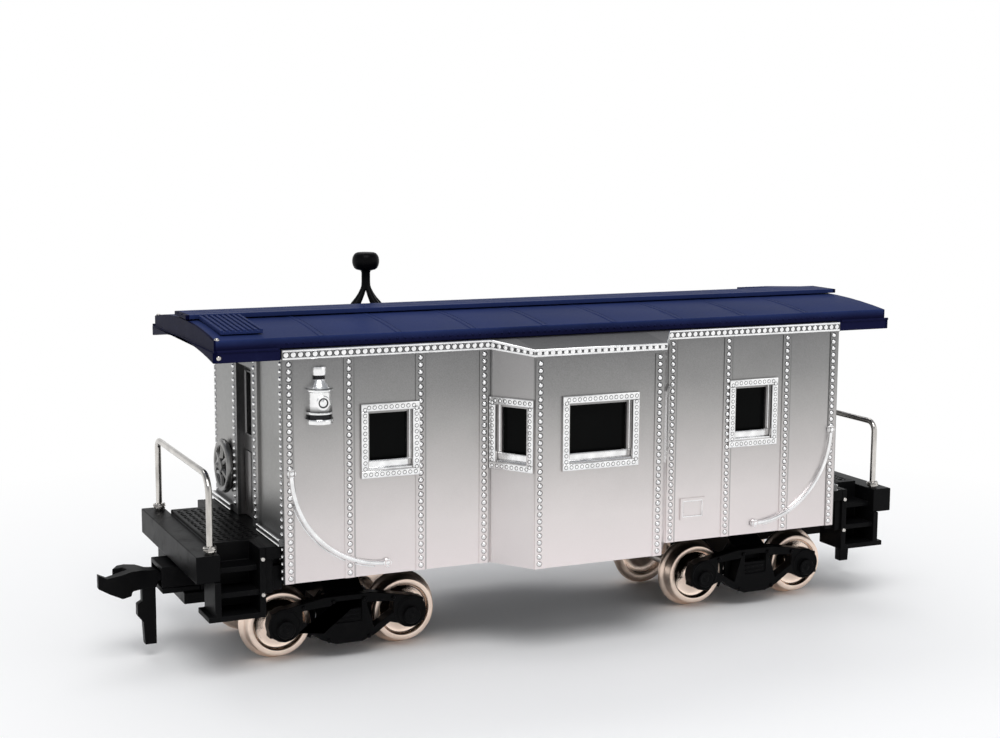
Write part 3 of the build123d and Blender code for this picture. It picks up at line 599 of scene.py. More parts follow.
def panelRows():
    plan, near, left = rivetPlan, (0, -1, 0), (-1, 0, 0)
    wallY, frontY = -car["halfWidth"] - plan["lapRaise"], -car["bayFace"] - plan["lapRaise"]
    wallX, doorX = -car["halfLength"], -car["halfLength"] - plan["doorRaise"]
    sides = [upright(x, wallY, plan["foot"], plan["top"], near) for x in plan["lapColumns"]]
    sides += [upright(x, frontY, plan["foot"], plan["bayTop"], near) for x in plan["bayColumns"]]
    ends = [upright(doorX, side * plan["doorY"], plan["doorFoot"], plan["doorTop"], left) for side in both]
    ends.append(([(doorX, side * plan["doorY"], plan["lintel"]) for side in both], left, False))
    ends += [upright(wallX, side * plan["cornerY"], plan["foot"], plan["cornerTop"], left) for side in both]
    return doubled(sides, mirrored) + doubled(ends, turned)


def stripRows():
    # along the letterboard, which falls a little over the bay
    plan, near = rivetPlan, (0, -1, 0)
    wallY, frontY = -car["halfWidth"] - car["stripRaise"], -car["bayFace"] - car["stripRaise"]
    wallZ = car["sideTop"] - car["stripHeight"] / 2
    frontZ = wallZ - car["bayFall"] + plan["stripTilt"]
    rows = []
    for end in both:
        reaches = (car["halfLength"] - plan["stripEnd"], car["bayRoot"] + plan["stripInset"])
        rows.append(([(end * x, wallY, wallZ) for x in reaches], near, False))
        out = Vector((end * slantY, -slantX, 0)).normalized()
        root = Vector((end * car["bayRoot"], -car["halfWidth"], wallZ)) + out * car["stripRaise"]
        corner = Vector((end * car["bayFront"], -car["bayFace"], frontZ)) + out * car["stripRaise"]
        rows.append(([root.lerp(corner, share) for share in plan["slantShares"]], out, False))
    front = [(end * (car["bayFront"] - plan["stripInset"]), frontY, frontZ) for end in both]
    return doubled(rows + [(front, near, False)], mirrored)


def frameRows():
    rows = []
    for window in windowTable:
        half, rise = ((size + windowPlan["border"]) / 2 for size in window[4:])
        loop = [windowPoint(window, across, up, windowPlan["raise"]) for across, up in corners(half, rise)]
        rows.append((loop, window[3], True))
    return doubled(rows, mirrored)


def eaveRows():
    reach, height = car["halfLength"] - rivetPlan["eaveEnd"], rivetPlan["eaveHeight"]
    return [
        ([(end * reach, side * car["roofSide"], height) for end in both], (0, side, 0), False)
        for side in both
    ]


def guideCarrier(name, rows):
    # rows become bare edges that carry their direction
    points, edges, directions = [], [], []
    for row, direction, closed in rows:
        start = len(points)
        points += [Vector(point) * mm for point in row]
        directions += [Vector(direction).normalized()] * len(row)
        edges += [(start + number, start + number + 1) for number in range(len(row) - 1)]
        if closed:
            edges.append((start + len(row) - 1, start))
    data = bpy.data.meshes.new(name)
    data.from_pydata(points, edges, [])
    attribute = data.attributes.new("facing", "FLOAT_VECTOR", "POINT")
    attribute.data.foreach_set("vector", [value for direction in directions for value in direction])
    return linked(name, data)


def headObject(name):
    # a small form at the origin that the rivet rows repeat; it is taken away again at the end
    mesh = bmesh.new()
    lathe(mesh, rivetPlan[name], Matrix(), rivetPlan["sides"])
    data = drawnData(name, mesh)
    smooth(data)
    # 0 on the foot that meets the wall, which takes the painted shade, 1 on the crown, which takes the
    # painted highlight
    crown = rivetPlan["crownShare"] * max(vert.co.xy.length for vert in data.vertices)
    pointValues(data, "highlightShare", [1.0 if vert.co.xy.length < crown else 0.0 for vert in data.vertices])
    return linked(name, data)


rivetTree = makeRivetTree()
roundHead, flatHead = headObject("head"), headObject("flatHead")
rivetTable = [
    # name, rows, head, pitch, size, finish
    ("panelRivets", panelRows(), roundHead, 1.03, 1.0, headSilver),
    ("stripRivets", stripRows(), flatHead, 1.03, 0.95, headSilver),
    ("windowRivets", frameRows(), flatHead, 0.86, 0.6, headSilver),
    ("eaveRivets", eaveRows(), roundHead, 1.15, 0.55, navyMoulding),
]
for name, rows, head, pitch, size, paint in rivetTable:
    data = rivetTree.grow(guideCarrier(name, rows), Head=head, Pitch=pitch * mm, Size=size, Finish=paint)
    smooth(data, 60)
    addPiece(name, data, paint)
print("rivets set")

# chequered plate on the platforms
treadPlan = {
    "rows": 7, "columns": 21, "length": 6.3, "width": 20.0, "x": 51.0, "raise": 0.02,
    "bar": (0.74, 0.2, 0.12), "barEdge": 0.04,
}
treadTree = makeTreadTree()
barMesh = bmesh.new()
block(barMesh, (0, 0, 0), treadPlan["bar"], treadPlan["barEdge"])
treadBar = linked("treadBar", drawnData("treadBar", barMesh))
for end, name in ((-1, "treadPlateLeft"), (1, "treadPlateRight")):
    data = treadTree.grow(
        linked(name, bpy.data.meshes.new(name)), Bar=treadBar, Finish=blackMoulding,
        Length=treadPlan["length"] * mm, Width=treadPlan["width"] * mm,
        Rows=treadPlan["rows"], Columns=treadPlan["columns"],
        Middle=(end * treadPlan["x"] * mm, 0.0, (car["floorTop"] + treadPlan["raise"]) * mm),
    )
    smooth(data, 38)
    addPiece(name, data, blackMoulding)
print("tread plates laid")

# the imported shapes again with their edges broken, as mouldings have them
mouldingTable = [
    # name, node, body, width of the broken edge, least angle of an edge
    ("roofMoulding", "roof", "car", 0.16, 40),
    ("walkBoards", "roofwalk", "car", 0.08, 32),
    ("gratingLeft", "roof_grating_left", "car", 0.07, 32),
    ("gratingRight", "roof_grating_right", "car", 0.07, 32),
    ("underframeMoulding", "underframe", "car", 0.16, 40),
]
for corner in ("left_near", "left_far", "right_near", "right_far"):
    mouldingTable.append(("cornerSteps_" + corner, "steps_" + corner, "car", 0.12, 32))
for number in "12":
    mouldingTable += [
        ("truckMoulding" + number, "truck_frame_" + number, "truck_" + number, 0.13, 40),
        ("couplerMoulding" + number, "coupler_" + number, "coupler_" + number, 0.14, 40),
        ("boxLid" + number, "coupler_lid_" + number, "truck_" + number, 0.1, 32),
    ]
# the roof's cross ribs hardly stand out of the arch
ribForm = {"lowest": 0.01, "highest": 0.3, "pressed": 0.65}


def softData(name, nodeName, width, sharp):
    mesh = bmesh.new()
    mesh.from_mesh(nodesOf[nodeName].data)
    bmesh.ops.remove_doubles(mesh, verts=mesh.verts[:], dist=2e-6)
    bmesh.ops.dissolve_limit(
        mesh, verts=mesh.verts[:], edges=mesh.edges[:], angle_limit=math.radians(1),
        use_dissolve_boundaries=False,
    )
    edges = [
        edge for edge in mesh.edges
        if len(edge.link_faces) == 2 and edge.calc_face_angle(0.0) > math.radians(sharp)
    ]
    bmesh.ops.bevel(
        mesh, geom=edges, offset=width * mm, segments=2, profile=0.6, affect="EDGES", clamp_overlap=False,
        miter_outer="ARC", loop_slide=True,
    )
    work = linked(name + "Work", toData(name + "Work", mesh))
    smooth(work.data, 50)
    weighted = work.modifiers.new("weighted", "WEIGHTED_NORMAL")
    weighted.keep_sharp = True
    weighted.weight = 80
    return evaluated(work)


def pressRibs(data):
    for vert in data.vertices:
        x, y, z = vert.co / mm
        lift = math.hypot(y, z - car["archCenter"]) - car["archRadius"]
        if ribForm["lowest"] < lift < ribForm["highest"] and abs(x) < car["halfLength"]:
            vert.co.z -= lift * ribForm["pressed"] * mm


for name, nodeName, body, width, sharp in mouldingTable:
    data = softData(name, nodeName, width, sharp)
    if nodeName == "roof":
        pressRibs(data)
    addPiece(name, data, slotPaint[slotOf[nodeName]], body, (nodeName,))
print("mouldings softened")

# wheels: half section as (radius, distance from the middle of the track)
wheelForm = {
    "steps": 72, "axleSteps": 28,
    "section": [
        (0.8, 7.5), (2.0, 7.5), (2.35, 7.62), (3.7, 7.62), (4.15, 7.35), (4.35, 7.25), (5.22, 7.25),
        (5.42, 7.32), (5.53, 7.46), (5.55, 7.6), (5.48, 7.78), (5.3, 7.96), (5.05, 8.12), (4.9, 8.28),
        (4.85, 8.45), (4.77, 9.8), (4.72, 9.93), (4.62, 10.02), (4.5, 10.05), (4.0, 10.05), (3.9, 10.01),
        (3.84, 9.9), (3.8, 9.55), (3.7, 9.4), (3.5, 9.32), (3.0, 9.27), (2.4, 9.3), (1.95, 9.42), (1.7, 9.6),
        (1.6, 9.92), (1.5, 10.03), (1.38, 10.05), (0.98, 10.05), (0.88, 10.0), (0.8, 9.9),
    ],
    "axle": [
        (0.8, 6.4), (0.95, 6.6), (0.95, 7.0), (0.8, 7.2), (0.8, 11.6), (0.78, 11.85), (0.62, 12.0), (0, 12.0),
    ],
}
for number in "1234":
    body = "wheelset_" + number
    x, height = jointPlace[body + "_roll"][0], car["axleHeight"]
    wheels, axle = bmesh.new(), bmesh.new()
    for side in both:
        lathe(wheels, wheelForm["section"], axisPlace((x, 0, height), (0, side, 0)), wheelForm["steps"], True)
    hidden = ("wheel_" + number + "_near", "wheel_" + number + "_far")
    data = finishPiece("wheelPair" + number, wheels, wheelNickel, body, hidden, 50)
    spins = [math.hypot(vert.co.x / mm - x, vert.co.z / mm - height) for vert in data.vertices]
    pointValues(data, "spin", spins)
    profile = [(radius, -along) for radius, along in reversed(wheelForm["axle"])] + wheelForm["axle"]
    lathe(axle, profile, axisPlace((x, 0, height), (0, 1, 0)), wheelForm["axleSteps"])
    finishPiece("axleRod" + number, axle, axleSteel, body, ("axle_" + number,), 50)
print("wheels turned")

# end railings of bright wire, wound round their feet
railForm = {
    "x": 56.0, "y": 15.0, "foot": 18.45, "top": 29.3, "sink": 0.03, "wire": 0.47, "sides": 14, "steps": 8,
    # bending radius by end of the car and side
    "bends": {-1: {-1: 2.9, 1: 1.3}, 1: {-1: 1.6, 1: 2.3}},
    "winds": 3, "windSteps": 14, "windReach": 0.72, "windWave": 0.08, "waves": 1.7,
    "windFrom": 0.18, "windRise": 0.62, "windWire": 0.2, "windSides": 7,
}


def railPath(end):
    form, x = railForm, end * railForm["x"]
    foot = form["foot"] - form["sink"]
    path = [(x, -form["y"], foot)]
    for side, first in ((-1, 180), (1, 90)):
        bend = form["bends"][end][side]
        path += [
            (x, side * (form["y"] - bend) + bend * cos, form["top"] - bend + bend * sin)
            for cos, sin in arc(first, first - 90, form["steps"])
        ]
    return path + [(x, form["y"], foot)]


def windPath(end, side):
    form, path = railForm, []
    count = form["winds"] * form["windSteps"]
    for step, (cos, sin) in enumerate(arc(0, 360 * form["winds"], count)):
        wave = math.sin(form["waves"] * 2 * math.pi * step / form["windSteps"])
        reach = form["windReach"] + form["windWave"] * wave
        height = form["foot"] + form["windFrom"] + form["windRise"] * step / count
        path.append((end * form["x"] + reach * cos, side * form["y"] + reach * sin, height))
    return path


for end, name, nodeName in ((-1, "wireRailLeft", "railing_left"), (1, "wireRailRight", "railing_right")):
    rail = bmesh.new()
    tube(rail, railPath(end), railForm["wire"], railForm["sides"])
    for side in both:
        tube(rail, windPath(end, side), railForm["windWire"], railForm["windSides"])
    finishPiece(name, rail, brightWire, hides=(nodeName,), sharp=45)
print("railings bent")

# smoke jack: profile above the roof's crown, and one leg as (distance out, height)
jackForm = {
    "x": -24.2, "y": 8.8, "steps": 40, "legTurn": 22, "legSides": 10,
    "section": [
        (0, 2.3), (0.5, 2.3), (0.72, 2.5), (0.72, 2.9), (0.68, 3.6), (0.68, 5.0), (0.78, 5.3), (1.1, 5.42),
        (1.5, 5.52), (1.8, 5.75), (2.0, 6.15), (2.1, 6.6), (2.1, 7.05), (2.02, 7.45), (1.84, 7.8),
        (1.6, 8.05), (1.3, 8.17), (0.9, 8.2), (0, 8.2),
    ],
    "leg": [(0.3, 3.2), (0.55, 2.5), (1.05, 1.6), (1.7, 0.7), (2.4, -0.1), (2.9, -0.75)],
    "legWire": [0.44, 0.44, 0.5, 0.6, 0.72, 0.8],
}
jack = bmesh.new()
x, y, z = jackForm["x"], jackForm["y"], car["crown"]
lathe(jack, jackForm["section"], Matrix.Translation((x, y, z)), jackForm["steps"])
for cos, sin in arc(jackForm["legTurn"], jackForm["legTurn"] + 270, 3):
    leg = [(x + out * cos, y + out * sin, z + up) for out, up in jackForm["leg"]]
    tube(jack, leg, jackForm["legWire"], jackForm["legSides"])
finishPiece("chimneyStack", jack, blackMoulding, hides=("smoke_jack",))

# curved grab irons, each with a line in relief beside it and a lug at both ends
grabForm = {
    "x": 31.0, "z": 29.35, "radius": 14.1, "y": 17.88, "wire": 0.43, "sides": 10, "steps": 26,
    "lineOut": 0.56, "lineSink": 0.1, "line": 0.1, "lineSides": 6, "lineShort": 2,
    "lug": [(0.66, -0.4), (0.66, 0.0), (0.6, 0.1), (0.36, 0.14), (0.3, 0.2), (0, 0.24)], "lugOut": 0.37,
}


def grabArc(end, side, grow=0.0, sink=0.0):
    form = grabForm
    radius, y = form["radius"] + grow, side * (form["y"] - sink)
    return [
        (end * (form["x"] + radius * cos), y, form["z"] + radius * sin)
        for cos, sin in arc(0, -90, form["steps"])
    ]


grabs = bmesh.new()
short = grabForm["lineShort"]
for side in both:
    for end in both:
        path = grabArc(end, side)
        line = grabArc(end, side, grabForm["lineOut"], grabForm["lineSink"])
        tube(grabs, path, grabForm["wire"], grabForm["sides"])
        tube(grabs, line[short:-short], grabForm["line"], grabForm["lineSides"])
        for x, y, z in (path[0], path[-1]):
            place = axisPlace((x, y + side * grabForm["lugOut"], z), (0, side, 0))
            lathe(grabs, grabForm["lug"], place, 14)
finishPiece("grabIrons", grabs, rivetSilver)

# marker lanterns: profile above the foot, and the lens on the front
lanternForm = {
    "x": -40.9, "foot": 36.1, "y": 17.85, "steps": 40, "lensY": 19.59, "lensUp": 3.1, "lensSteps": 18,
    "section": [
        (0, -0.05), (1.86, -0.05), (2.05, 0.08), (2.08, 0.5), (1.96, 0.78), (1.83, 0.9), (1.83, 1.35),
        (1.98, 1.45), (2.0, 1.62), (1.84, 1.75), (1.83, 4.5), (1.9, 4.58), (2.04, 4.66), (2.06, 4.84),
        (1.92, 4.96), (1.5, 5.42), (1.04, 5.98), (0.86, 6.3), (0.83, 6.55), (0.9, 6.75), (1.1, 6.86),
        (1.16, 7.3), (1.12, 7.8), (1.04, 8.02), (0.7, 8.14), (0, 8.18),
    ],
    "lens": [
        (0, 0.0), (1.0, 0.0), (1.05, 0.1), (0.92, 0.2), (0.68, 0.21), (0.55, 0.14), (0.36, 0.24), (0, 0.3),
    ],
    # painted shade in the grooves, as heights above the foot, and a painted shade ring round the lens, as
    # radii
    "grooves": ((0.7, 1.4), (1.7, 1.8), (4.9, 5.0), (6.25, 6.8)), "ring": (0.45, 0.7), "ringFrom": 19.7,
}


# the lantern's share of the painted highlight: 0 in the grooves and round the lens, which take a painted
# shade, 1 elsewhere
def lanternHighlightShare(point):
    x, y, z = point / mm
    up = z - lanternForm["foot"]
    inShadedGroove = any(low < up < high for low, high in lanternForm["grooves"])
    low, high = lanternForm["ring"]
    inShadedRing = low < math.hypot(x - lanternForm["x"], up - lanternForm["lensUp"]) < high
    return 0.0 if inShadedGroove or (inShadedRing and abs(y) > lanternForm["ringFrom"]) else 1.0


lanterns = bmesh.new()
for side in both:
    x, foot = lanternForm["x"], lanternForm["foot"]
    place = Matrix.Translation((x, side * lanternForm["y"], foot))
    lathe(lanterns, lanternForm["section"], place, lanternForm["steps"])
    place = axisPlace((x, side * lanternForm["lensY"], foot + lanternForm["lensUp"]), (0, side, 0))
    lathe(lanterns, lanternForm["lens"], place, lanternForm["lensSteps"])
data = finishPiece("markerLanterns", lanterns, headSilver, sharp=30)
pointValues(data, "highlightShare", [lanternHighlightShare(vert.co) for vert in data.vertices])

# beads along both edges of the letterboard
beadForm = {
    "heights": (0.22, 1.3), "wire": 0.2, "sink": 0.1, "lowFall": 0.5, "end": 0.1, "root": 0.15, "front": 0.2,
}


def beadPath(side, up):
    form = beadForm
    out = car["stripRaise"] - form["sink"]
    wallY, frontY = side * (car["halfWidth"] + out), side * (car["bayFace"] + out)
    z = car["sideTop"] - car["stripHeight"] + up
    fallen = car["bayFall"] - form["lowFall"] * (1 - up / car["stripHeight"])
    half = [
        (car["halfLength"] - form["end"], wallY, z), (car["bayRoot"] + form["root"], wallY, z),
        (car["bayFront"] + form["front"], frontY, z - fallen),
    ]
    return [(-x, y, z) for x, y, z in half] + half[::-1]


beads = bmesh.new()
for side in both:
    for up in beadForm["heights"]:
        tube(beads, beadPath(side, up), beadForm["wire"])
finishPiece("letterboardBeads", beads, rivetSilver, sharp=45)

# windows: bright bars round the opening, stiles in its reveals and a deep sill rail with two beads
sashForm = {
    "barThick": 0.4, "barEdge": 0.15, "barSink": 0.2, "stile": 0.13, "stileIn": 0.1, "stileDeep": 0.62,
    "rail": 1.35, "railShort": 0.1, "railThick": 0.5, "railBack": 0.5, "railEdge": 0.12, "beadShort": 0.05,
    # height, distance out and wire of each bead
    "beads": ((1.27, -0.28, 0.12), (0.1, 0.0, 0.2)),
}
# raised rim round the small hatch low on the wall
hatchForm = {"x": 19.7, "z": 18.6, "wide": 1.75, "tall": 1.25, "out": 0.08, "wire": 0.15}
sashes = bmesh.new()


def addSash(window, change):
    form, border, thick = sashForm, windowPlan["border"], sashForm["barThick"]
    halfWide, halfTall = window[4] / 2, window[5] / 2
    along, normal = (change(Vector(way)).normalized() for way in window[2:4])
    axes = Matrix((along, normal, (0, 0, 1))).transposed().to_4x4()

    def point(across, up, out):
        return change(windowPoint(window, across, up, out))

    def bar(across, up, out, size, edge):
        block(sashes, (0, 0, 0), size, edge, Matrix.Translation(point(across, up, out)) @ axes)

    out = windowPlan["raise"] - form["barSink"]
    for side in (1, -1):
        size = (2 * (halfWide + border), thick, border)
        bar(0, side * (halfTall + border / 2), out, size, form["barEdge"])
    for side in (1, -1):
        bar(side * (halfWide + border / 2), 0, out, (border, thick, 2 * halfTall), form["barEdge"])
    for side in both:
        across, deep = side * (halfWide - form["stileIn"]), -form["stileDeep"]
        tube(sashes, [point(across, up, deep) for up in (-halfTall, halfTall)], form["stile"], 6)
    size = (window[4] - form["railShort"], form["railThick"], form["rail"])
    bar(0, -halfTall + form["rail"] / 2, -form["railBack"], size, form["railEdge"])
    for up, out, wire in form["beads"]:
        reach = halfWide - form["beadShort"]
        tube(sashes, [point(side * reach, -halfTall + up, out) for side in both], wire)


for window in windowTable:
    for change in (Vector, mirrored):
        addSash(window, change)
for change in (Vector, mirrored):
    y = -car["halfWidth"] - hatchForm["out"]
    rodLoop(sashes, [
        change((hatchForm["x"] + across, y, hatchForm["z"] + up))
        for across, up in corners(hatchForm["wide"], hatchForm["tall"])
    ], hatchForm["wire"])
finishPiece("windowSashes", sashes, rivetSilver, sharp=45)
print("side fittings made")

# end walls: door panels, knobs and window rim, ledge beads, brake wheels on dark discs that stand for the
# shade behind them
doorForm = {
    "x": -45.35, "panelOut": 0.05, "panelY": 1.9, "panelZ": 24.6, "panelSize": (0.3, 3.0, 9.0),
    "panelEdge": 0.1, "knob": [(0.32, 0), (0.3, 0.3), (0.5, 0.45), (0.55, 0.7), (0.4, 0.9), (0, 0.95)],
    "knobY": -3.2, "knobHeights": (30.9, 27.6),
    "windowOut": 0.08, "windowHalf": 2.75, "windowZ": 36.4, "windowRise": 4.8, "windowWire": 0.2,
}
ledgeForm = {"x": -46.9, "reach": (7.0, 17.7), "heights": (19.2, 19.95), "wire": 0.17}
brakeForm = {
    "x": -47.1, "y": 9.9, "z": 25.5, "radius": 3.6, "rim": 0.58, "rimSteps": 40, "rimSides": 12,
    # a spoke as (distance from the hub, distance out, wire)
    "spokes": 6, "spoke": ((0.4, 0.35, 0.52), (1.8, 0.16, 0.44), (3.5, 0.0, 0.42)),
    "hub": [
        (0, -1.2), (1.3, -1.2), (1.3, 0.72), (1.15, 0.86), (0.75, 0.92), (0.62, 1.02), (0.55, 1.3),
        (0.35, 1.4), (0, 1.42),
    ],
    "shadeDisc": [(0, -0.1), (3.5, -0.1), (3.5, 0.1), (3.3, 0.16), (0.6, 0.18), (0, 0.18)],
}
ends, ledges, brakes, shadeDiscs = (bmesh.new() for piece in range(4))


def addDoor(change):
    form = doorForm
    for side in both:
        panel = (form["x"] - form["panelOut"], side * form["panelY"], form["panelZ"])
        block(ends, change(panel), form["panelSize"], form["panelEdge"])
    for z in form["knobHeights"]:
        lathe(ends, form["knob"], axisPlace(change((form["x"], form["knobY"], z)), change((-1, 0, 0))), 14)
    rodLoop(ends, [
        change((form["x"] - form["windowOut"], y, form["windowZ"] + up))
        for y, up in corners(form["windowHalf"], form["windowRise"])
    ], form["windowWire"])


def addBrakeWheel(change):
    form, outward = brakeForm, change((-1, 0, 0))
    center = Vector((form["x"], form["y"], form["z"]))

    def point(cos, sin, reach, out=0.0):
        return change(center + Vector((-out, reach * cos, reach * sin)))

    ring = [point(cos, sin, form["radius"]) for cos, sin in arc(0, 360, form["rimSteps"])[:-1]]
    tube(brakes, ring, form["rim"], form["rimSides"], closed=True)
    for cos, sin in arc(90, 450, form["spokes"])[:-1]:
        spoke = [point(cos, sin, reach, out) for reach, out, wire in form["spoke"]]
        tube(brakes, spoke, [wire for reach, out, wire in form["spoke"]])
    lathe(brakes, form["hub"], axisPlace(change(center), outward), 20)
    # a dark disc on the wall behind each brake wheel, standing for the shade there
    wallPlace = axisPlace(change((-car["halfLength"], form["y"], form["z"])), outward)
    lathe(shadeDiscs, form["shadeDisc"], wallPlace, 36)


for change in (Vector, turned):
    addBrakeWheel(change)
    addDoor(change)
    for side in both:
        for z in ledgeForm["heights"]:
            ledge = [change((ledgeForm["x"], side * y, z)) for y in ledgeForm["reach"]]
            tube(ledges, ledge, ledgeForm["wire"])
finishPiece("endFittings", ends, silverCoat)
finishPiece("ledgeBeads", ledges, rivetSilver)
finishPiece("brakeWheels", brakes, silverCoat)
finishPiece("brakeGrounds", shadeDiscs, blackPane)

# bolts and straps on the corner steps
stepForm = {
    "bolt": [(0.36, -0.1), (0.36, 0.1), (0.26, 0.22), (0, 0.26)], "boltX": 49.05, "boltY": 17.0,
    "boltHeights": (17.3, 12.2), "strapEdge": 0.15,
    # middle and size of each strap
    "straps": (((48.1, 16.3, 15.3), (1.3, 0.7, 6.2)), ((47.2, 15.7, 14.2), (2.4, 0.7, 3.6))),
}
stepBolts, straps = bmesh.new(), bmesh.new()
for end in both:
    for side in both:
        for z in stepForm["boltHeights"]:
            place = axisPlace((end * stepForm["boltX"], side * stepForm["boltY"], z), (0, side, 0))
            lathe(stepBolts, stepForm["bolt"], place, 10)
        for (x, y, z), size in stepForm["straps"]:
            block(straps, (end * x, side * y, z), size, stepForm["strapEdge"])
finishPiece("stepBolts", stepBolts, brightWire)
finishPiece("stepStraps", straps, blackMoulding)

# bolts at the corners of the left roof hood, and a lip along the foot of both
hoodForm = {
    "bolt": [(0.38, -0.1), (0.38, 0.06), (0.28, 0.2), (0.12, 0.27), (0, 0.28)], "boltX": -55.0,
    "sideY": 17.8, "sideZ": 45.9, "topY": 16.9, "topZ": 48.27,
    "lipFrom": 0.4, "lipShort": 0.1, "lipRaise": 0.05, "lipWire": 0.2,
}
hoodBolts, hoodLips = bmesh.new(), bmesh.new()
for side in both:
    for y, z, facing in (
        (hoodForm["sideY"], hoodForm["sideZ"], (0, side, 0)), (hoodForm["topY"], hoodForm["topZ"], (0, 0, 1)),
    ):
        lathe(hoodBolts, hoodForm["bolt"], axisPlace((hoodForm["boltX"], side * y, z), facing), 14)
for end in both:
    for side in both:
        reaches = (car["halfLength"] + hoodForm["lipFrom"], car["hoodEnd"] - hoodForm["lipShort"])
        lip = [(end * x, side * car["hoodSide"], car["roofEdge"] + hoodForm["lipRaise"]) for x in reaches]
        tube(hoodLips, lip, hoodForm["lipWire"])
finishPiece("hoodBolts", hoodBolts, brightWire, sharp=45)
finishPiece("hoodLips", hoodLips, navyMoulding, sharp=60)
print("end fittings made")

# truck details; heights are above the axles, lengths from the truck's middle
truckForm = {
    "cap": [
        (1.0, -0.2), (1.32, -0.2), (1.32, 0.0), (1.24, 0.1), (0.98, 0.13), (0.9, 0.06), (0.5, 0.04),
        (0.38, 0.16), (0, 0.2),
    ],
    "capY": 13.35, "rimUp": 0.5,
    "rim": [(2.05, -0.1), (2.42, -0.1), (2.42, 0.02), (2.34, 0.1), (2.2, 0.12), (2.05, 0.02)],
    "bolt": [(0.34, -0.15), (0.34, 0.14), (0.26, 0.26), (0, 0.3)],
    "bolts": ((2.35, 3.25), (3.1, -2.5), (6.9, 2.85)), "face": 12.75,
    "shoe": 5.25, "shoeY": 9.3, "shoeArc": (150, 210, 6), "shoeWire": 0.36,
    # the hanger as (distance from the shoe, height)
    "hanger": ((0.0, 0.2), (0.6, 3.2), (1.3, 4.1)), "hangerWire": 0.34,
    "ribs": (0.35, 1.1), "ribY": 12.47, "ribSize": (3.7, 0.26, 0.34), "ribEdge": 0.08,
    "plateY": 9.6, "plateUp": 0.2, "plateSize": (8.0, 0.7, 5.4), "plateEdge": 0.3,
    "beamX": 4.15, "beamY": 9.5, "beamUp": -0.3, "beamWire": 0.42,
}


def makeTruckDetails(number):
    form, axle, fit = truckForm, car["halfBase"], bmesh.new()
    centerX = jointPlace["truck_" + number + "_swivel"][0]
    # turned cap with a centre point, rim of the frame's round end, bolts
    turnings = [
        (form["cap"], axle, form["capY"], 0.0, 28, False),
        (form["rim"], axle, form["face"], form["rimUp"], 36, True),
    ] + [(form["bolt"], x, form["face"], up, 6, False) for x, up in form["bolts"]]
    # brake shoe and its hanger inboard of the wheel
    shoe = [(axle + form["shoe"] * cos, form["shoe"] * sin) for cos, sin in arc(*form["shoeArc"])]
    hanger = [(axle - form["shoe"] - inward, up) for inward, up in form["hanger"]]

    def spot(end, side, x, y, up=0.0):
        return (centerX + end * x, side * y, car["axleHeight"] + up)

    for side in both:
        for end in both:
            for profile, x, y, up, steps, closed in turnings:
                lathe(fit, profile, axisPlace(spot(end, side, x, y, up), (0, side, 0)), steps, closed)
            for path, wire in ((shoe, form["shoeWire"]), (hanger, form["hangerWire"])):
                tube(fit, [spot(end, side, x, form["shoeY"], up) for x, up in path], wire)
        # ribs on the block in the middle slot
        for up in form["ribs"]:
            block(fit, spot(1, side, 0.0, form["ribY"], up), form["ribSize"], form["ribEdge"])
    for side in both:
        # a dark plate behind the frame's openings, standing for the shade seen through them
        block(fit, spot(1, side, 0.0, form["plateY"], form["plateUp"]), form["plateSize"], form["plateEdge"])
    for end in both:
        beam = [spot(end, side, form["beamX"], form["beamY"], form["beamUp"]) for side in both]
        tube(fit, beam, form["beamWire"])
    finishPiece("truckFittings" + number, fit, blackMoulding, "truck_" + number)


for number in "12":
    makeTruckDetails(number)
print("truck details made")

# camera at the photograph's angle
view = {
    "position": (-114.183, -238.418, 76.190), "lens": 60.64,
    "azimuth": -24.582, "elevation": 7.968, "roll": 0.288,
}
cameraData = bpy.data.cameras.new("viewpoint")
cameraData.lens = view["lens"]
cameraData.sensor_width = 36.0
cameraData.sensor_fit = "HORIZONTAL"
cameraData.clip_start = 0.005
cameraData.clip_end = 20.0
stand = Matrix.Translation(Vector(view["position"]) * mm)
for angle, axis in ((view["azimuth"], "Z"), (90.0 - view["elevation"], "X"), (view["roll"], "Z")):
    stand = stand @ Matrix.Rotation(math.radians(angle), 4, axis)
scene.camera = linked("viewpoint", cameraData)
scene.camera.matrix_world = stand

# pale floor that fades into the white of the backdrop away from the car
floorLook = {"half": 4.0, "roughness": 0.8, "tone": 0.94, "cloud": (3.0, 2.0, 0.5), "fade": (45.0, 150.0)}


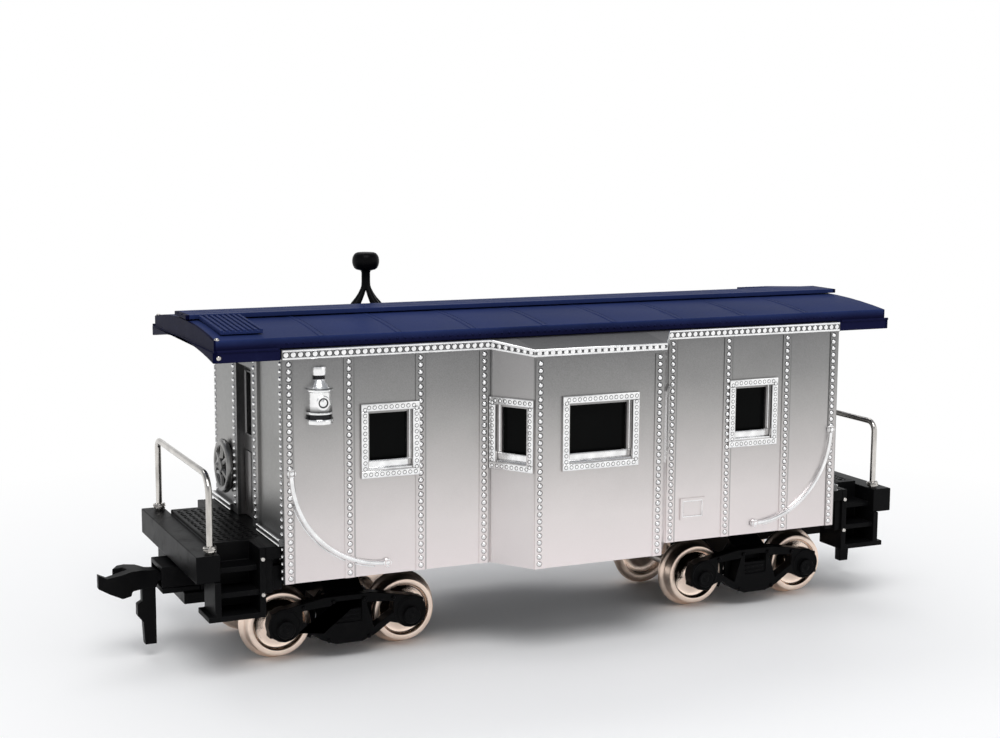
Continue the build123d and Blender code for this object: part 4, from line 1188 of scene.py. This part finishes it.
def makeFloorPaint():
    paint = Paint("studioFloor", Roughness=floorLook["roughness"])
    tone = paint.noise(*floorLook["cloud"]) * 0.02 + floorLook["tone"]
    paint.feed("Base Color", paint.mixColor(tone, grey(0.0), grey(1.0)))
    distance = (paint.axis("X") ** 2 + paint.axis("Y") ** 2) ** 0.5
    near, far = floorLook["fade"]
    fade = ((distance - near) / (far - near)).clamped()
    mixed = paint.node("ShaderNodeMixShader", {}, {
        0: fade * paint.seenRays(), 1: Link(paint.shader.outputs[0]), 2: paint.node("ShaderNodeEmission"),
    })
    paint.tree.links.new(mixed.socket, paint.tree.nodes["Material Output"].inputs["Surface"])
    return paint.material


floorMesh = bmesh.new()
bmesh.ops.create_grid(floorMesh, x_segments=1, y_segments=1, size=floorLook["half"])
floor = linked("studioFloor", toData("studioFloor", floorMesh))
floor.data.materials.append(makeFloorPaint())

# soft studio light
lightPlan = [
    # name, position, size, power, aimed at
    ("keyLight", (-0.15, -0.5, 0.82), (0.55, 0.5), 4.2, (0, 0, 0.02)),
    ("fillLight", (0.6, -0.55, 0.4), (0.5, 0.4), 0.4, (0, 0, 0.03)),
    ("rimLight", (0.1, 0.55, 0.75), (0.8, 0.3), 1.8, (0, 0, 0.03)),
]
for name, position, size, power, aim in lightPlan:
    lamp = bpy.data.lights.new(name, "AREA")
    lamp.shape = "RECTANGLE"
    lamp.size, lamp.size_y = size
    lamp.energy = power
    aimed = (Vector(aim) - Vector(position)).to_track_quat("-Z", "Y").to_matrix().to_4x4()
    linked(name, lamp).matrix_world = Matrix.Translation(position) @ aimed

# the backdrop is white where the camera or a mirror sees it, and a dim grey as a light
skyLook = {"light": (0.5, 0.51, 0.53), "seen": [(0.1, grey(1.0)), (0.55, (0.3, 0.31, 0.33))]}
world = bpy.data.worlds.new("studio")
scene.world = world
world.use_nodes = True
sky = NodeKit(world.node_tree)
direction = sky.node("ShaderNodeTexCoord", output="Generated")
height = sky.node("ShaderNodeSeparateXYZ", {}, {0: direction}, "Z")
skyTone = sky.mixColor(sky.seenRays(), skyLook["light"], sky.ramp(height, skyLook["seen"]))
sky.tree.links.new(skyTone.socket, sky.tree.nodes["Background"].inputs["Color"])
scene.view_settings.view_transform = "Standard"
for helper in (roundHead, flatHead, treadBar):
    bpy.data.objects.remove(helper)
print("camera, floor and light set")
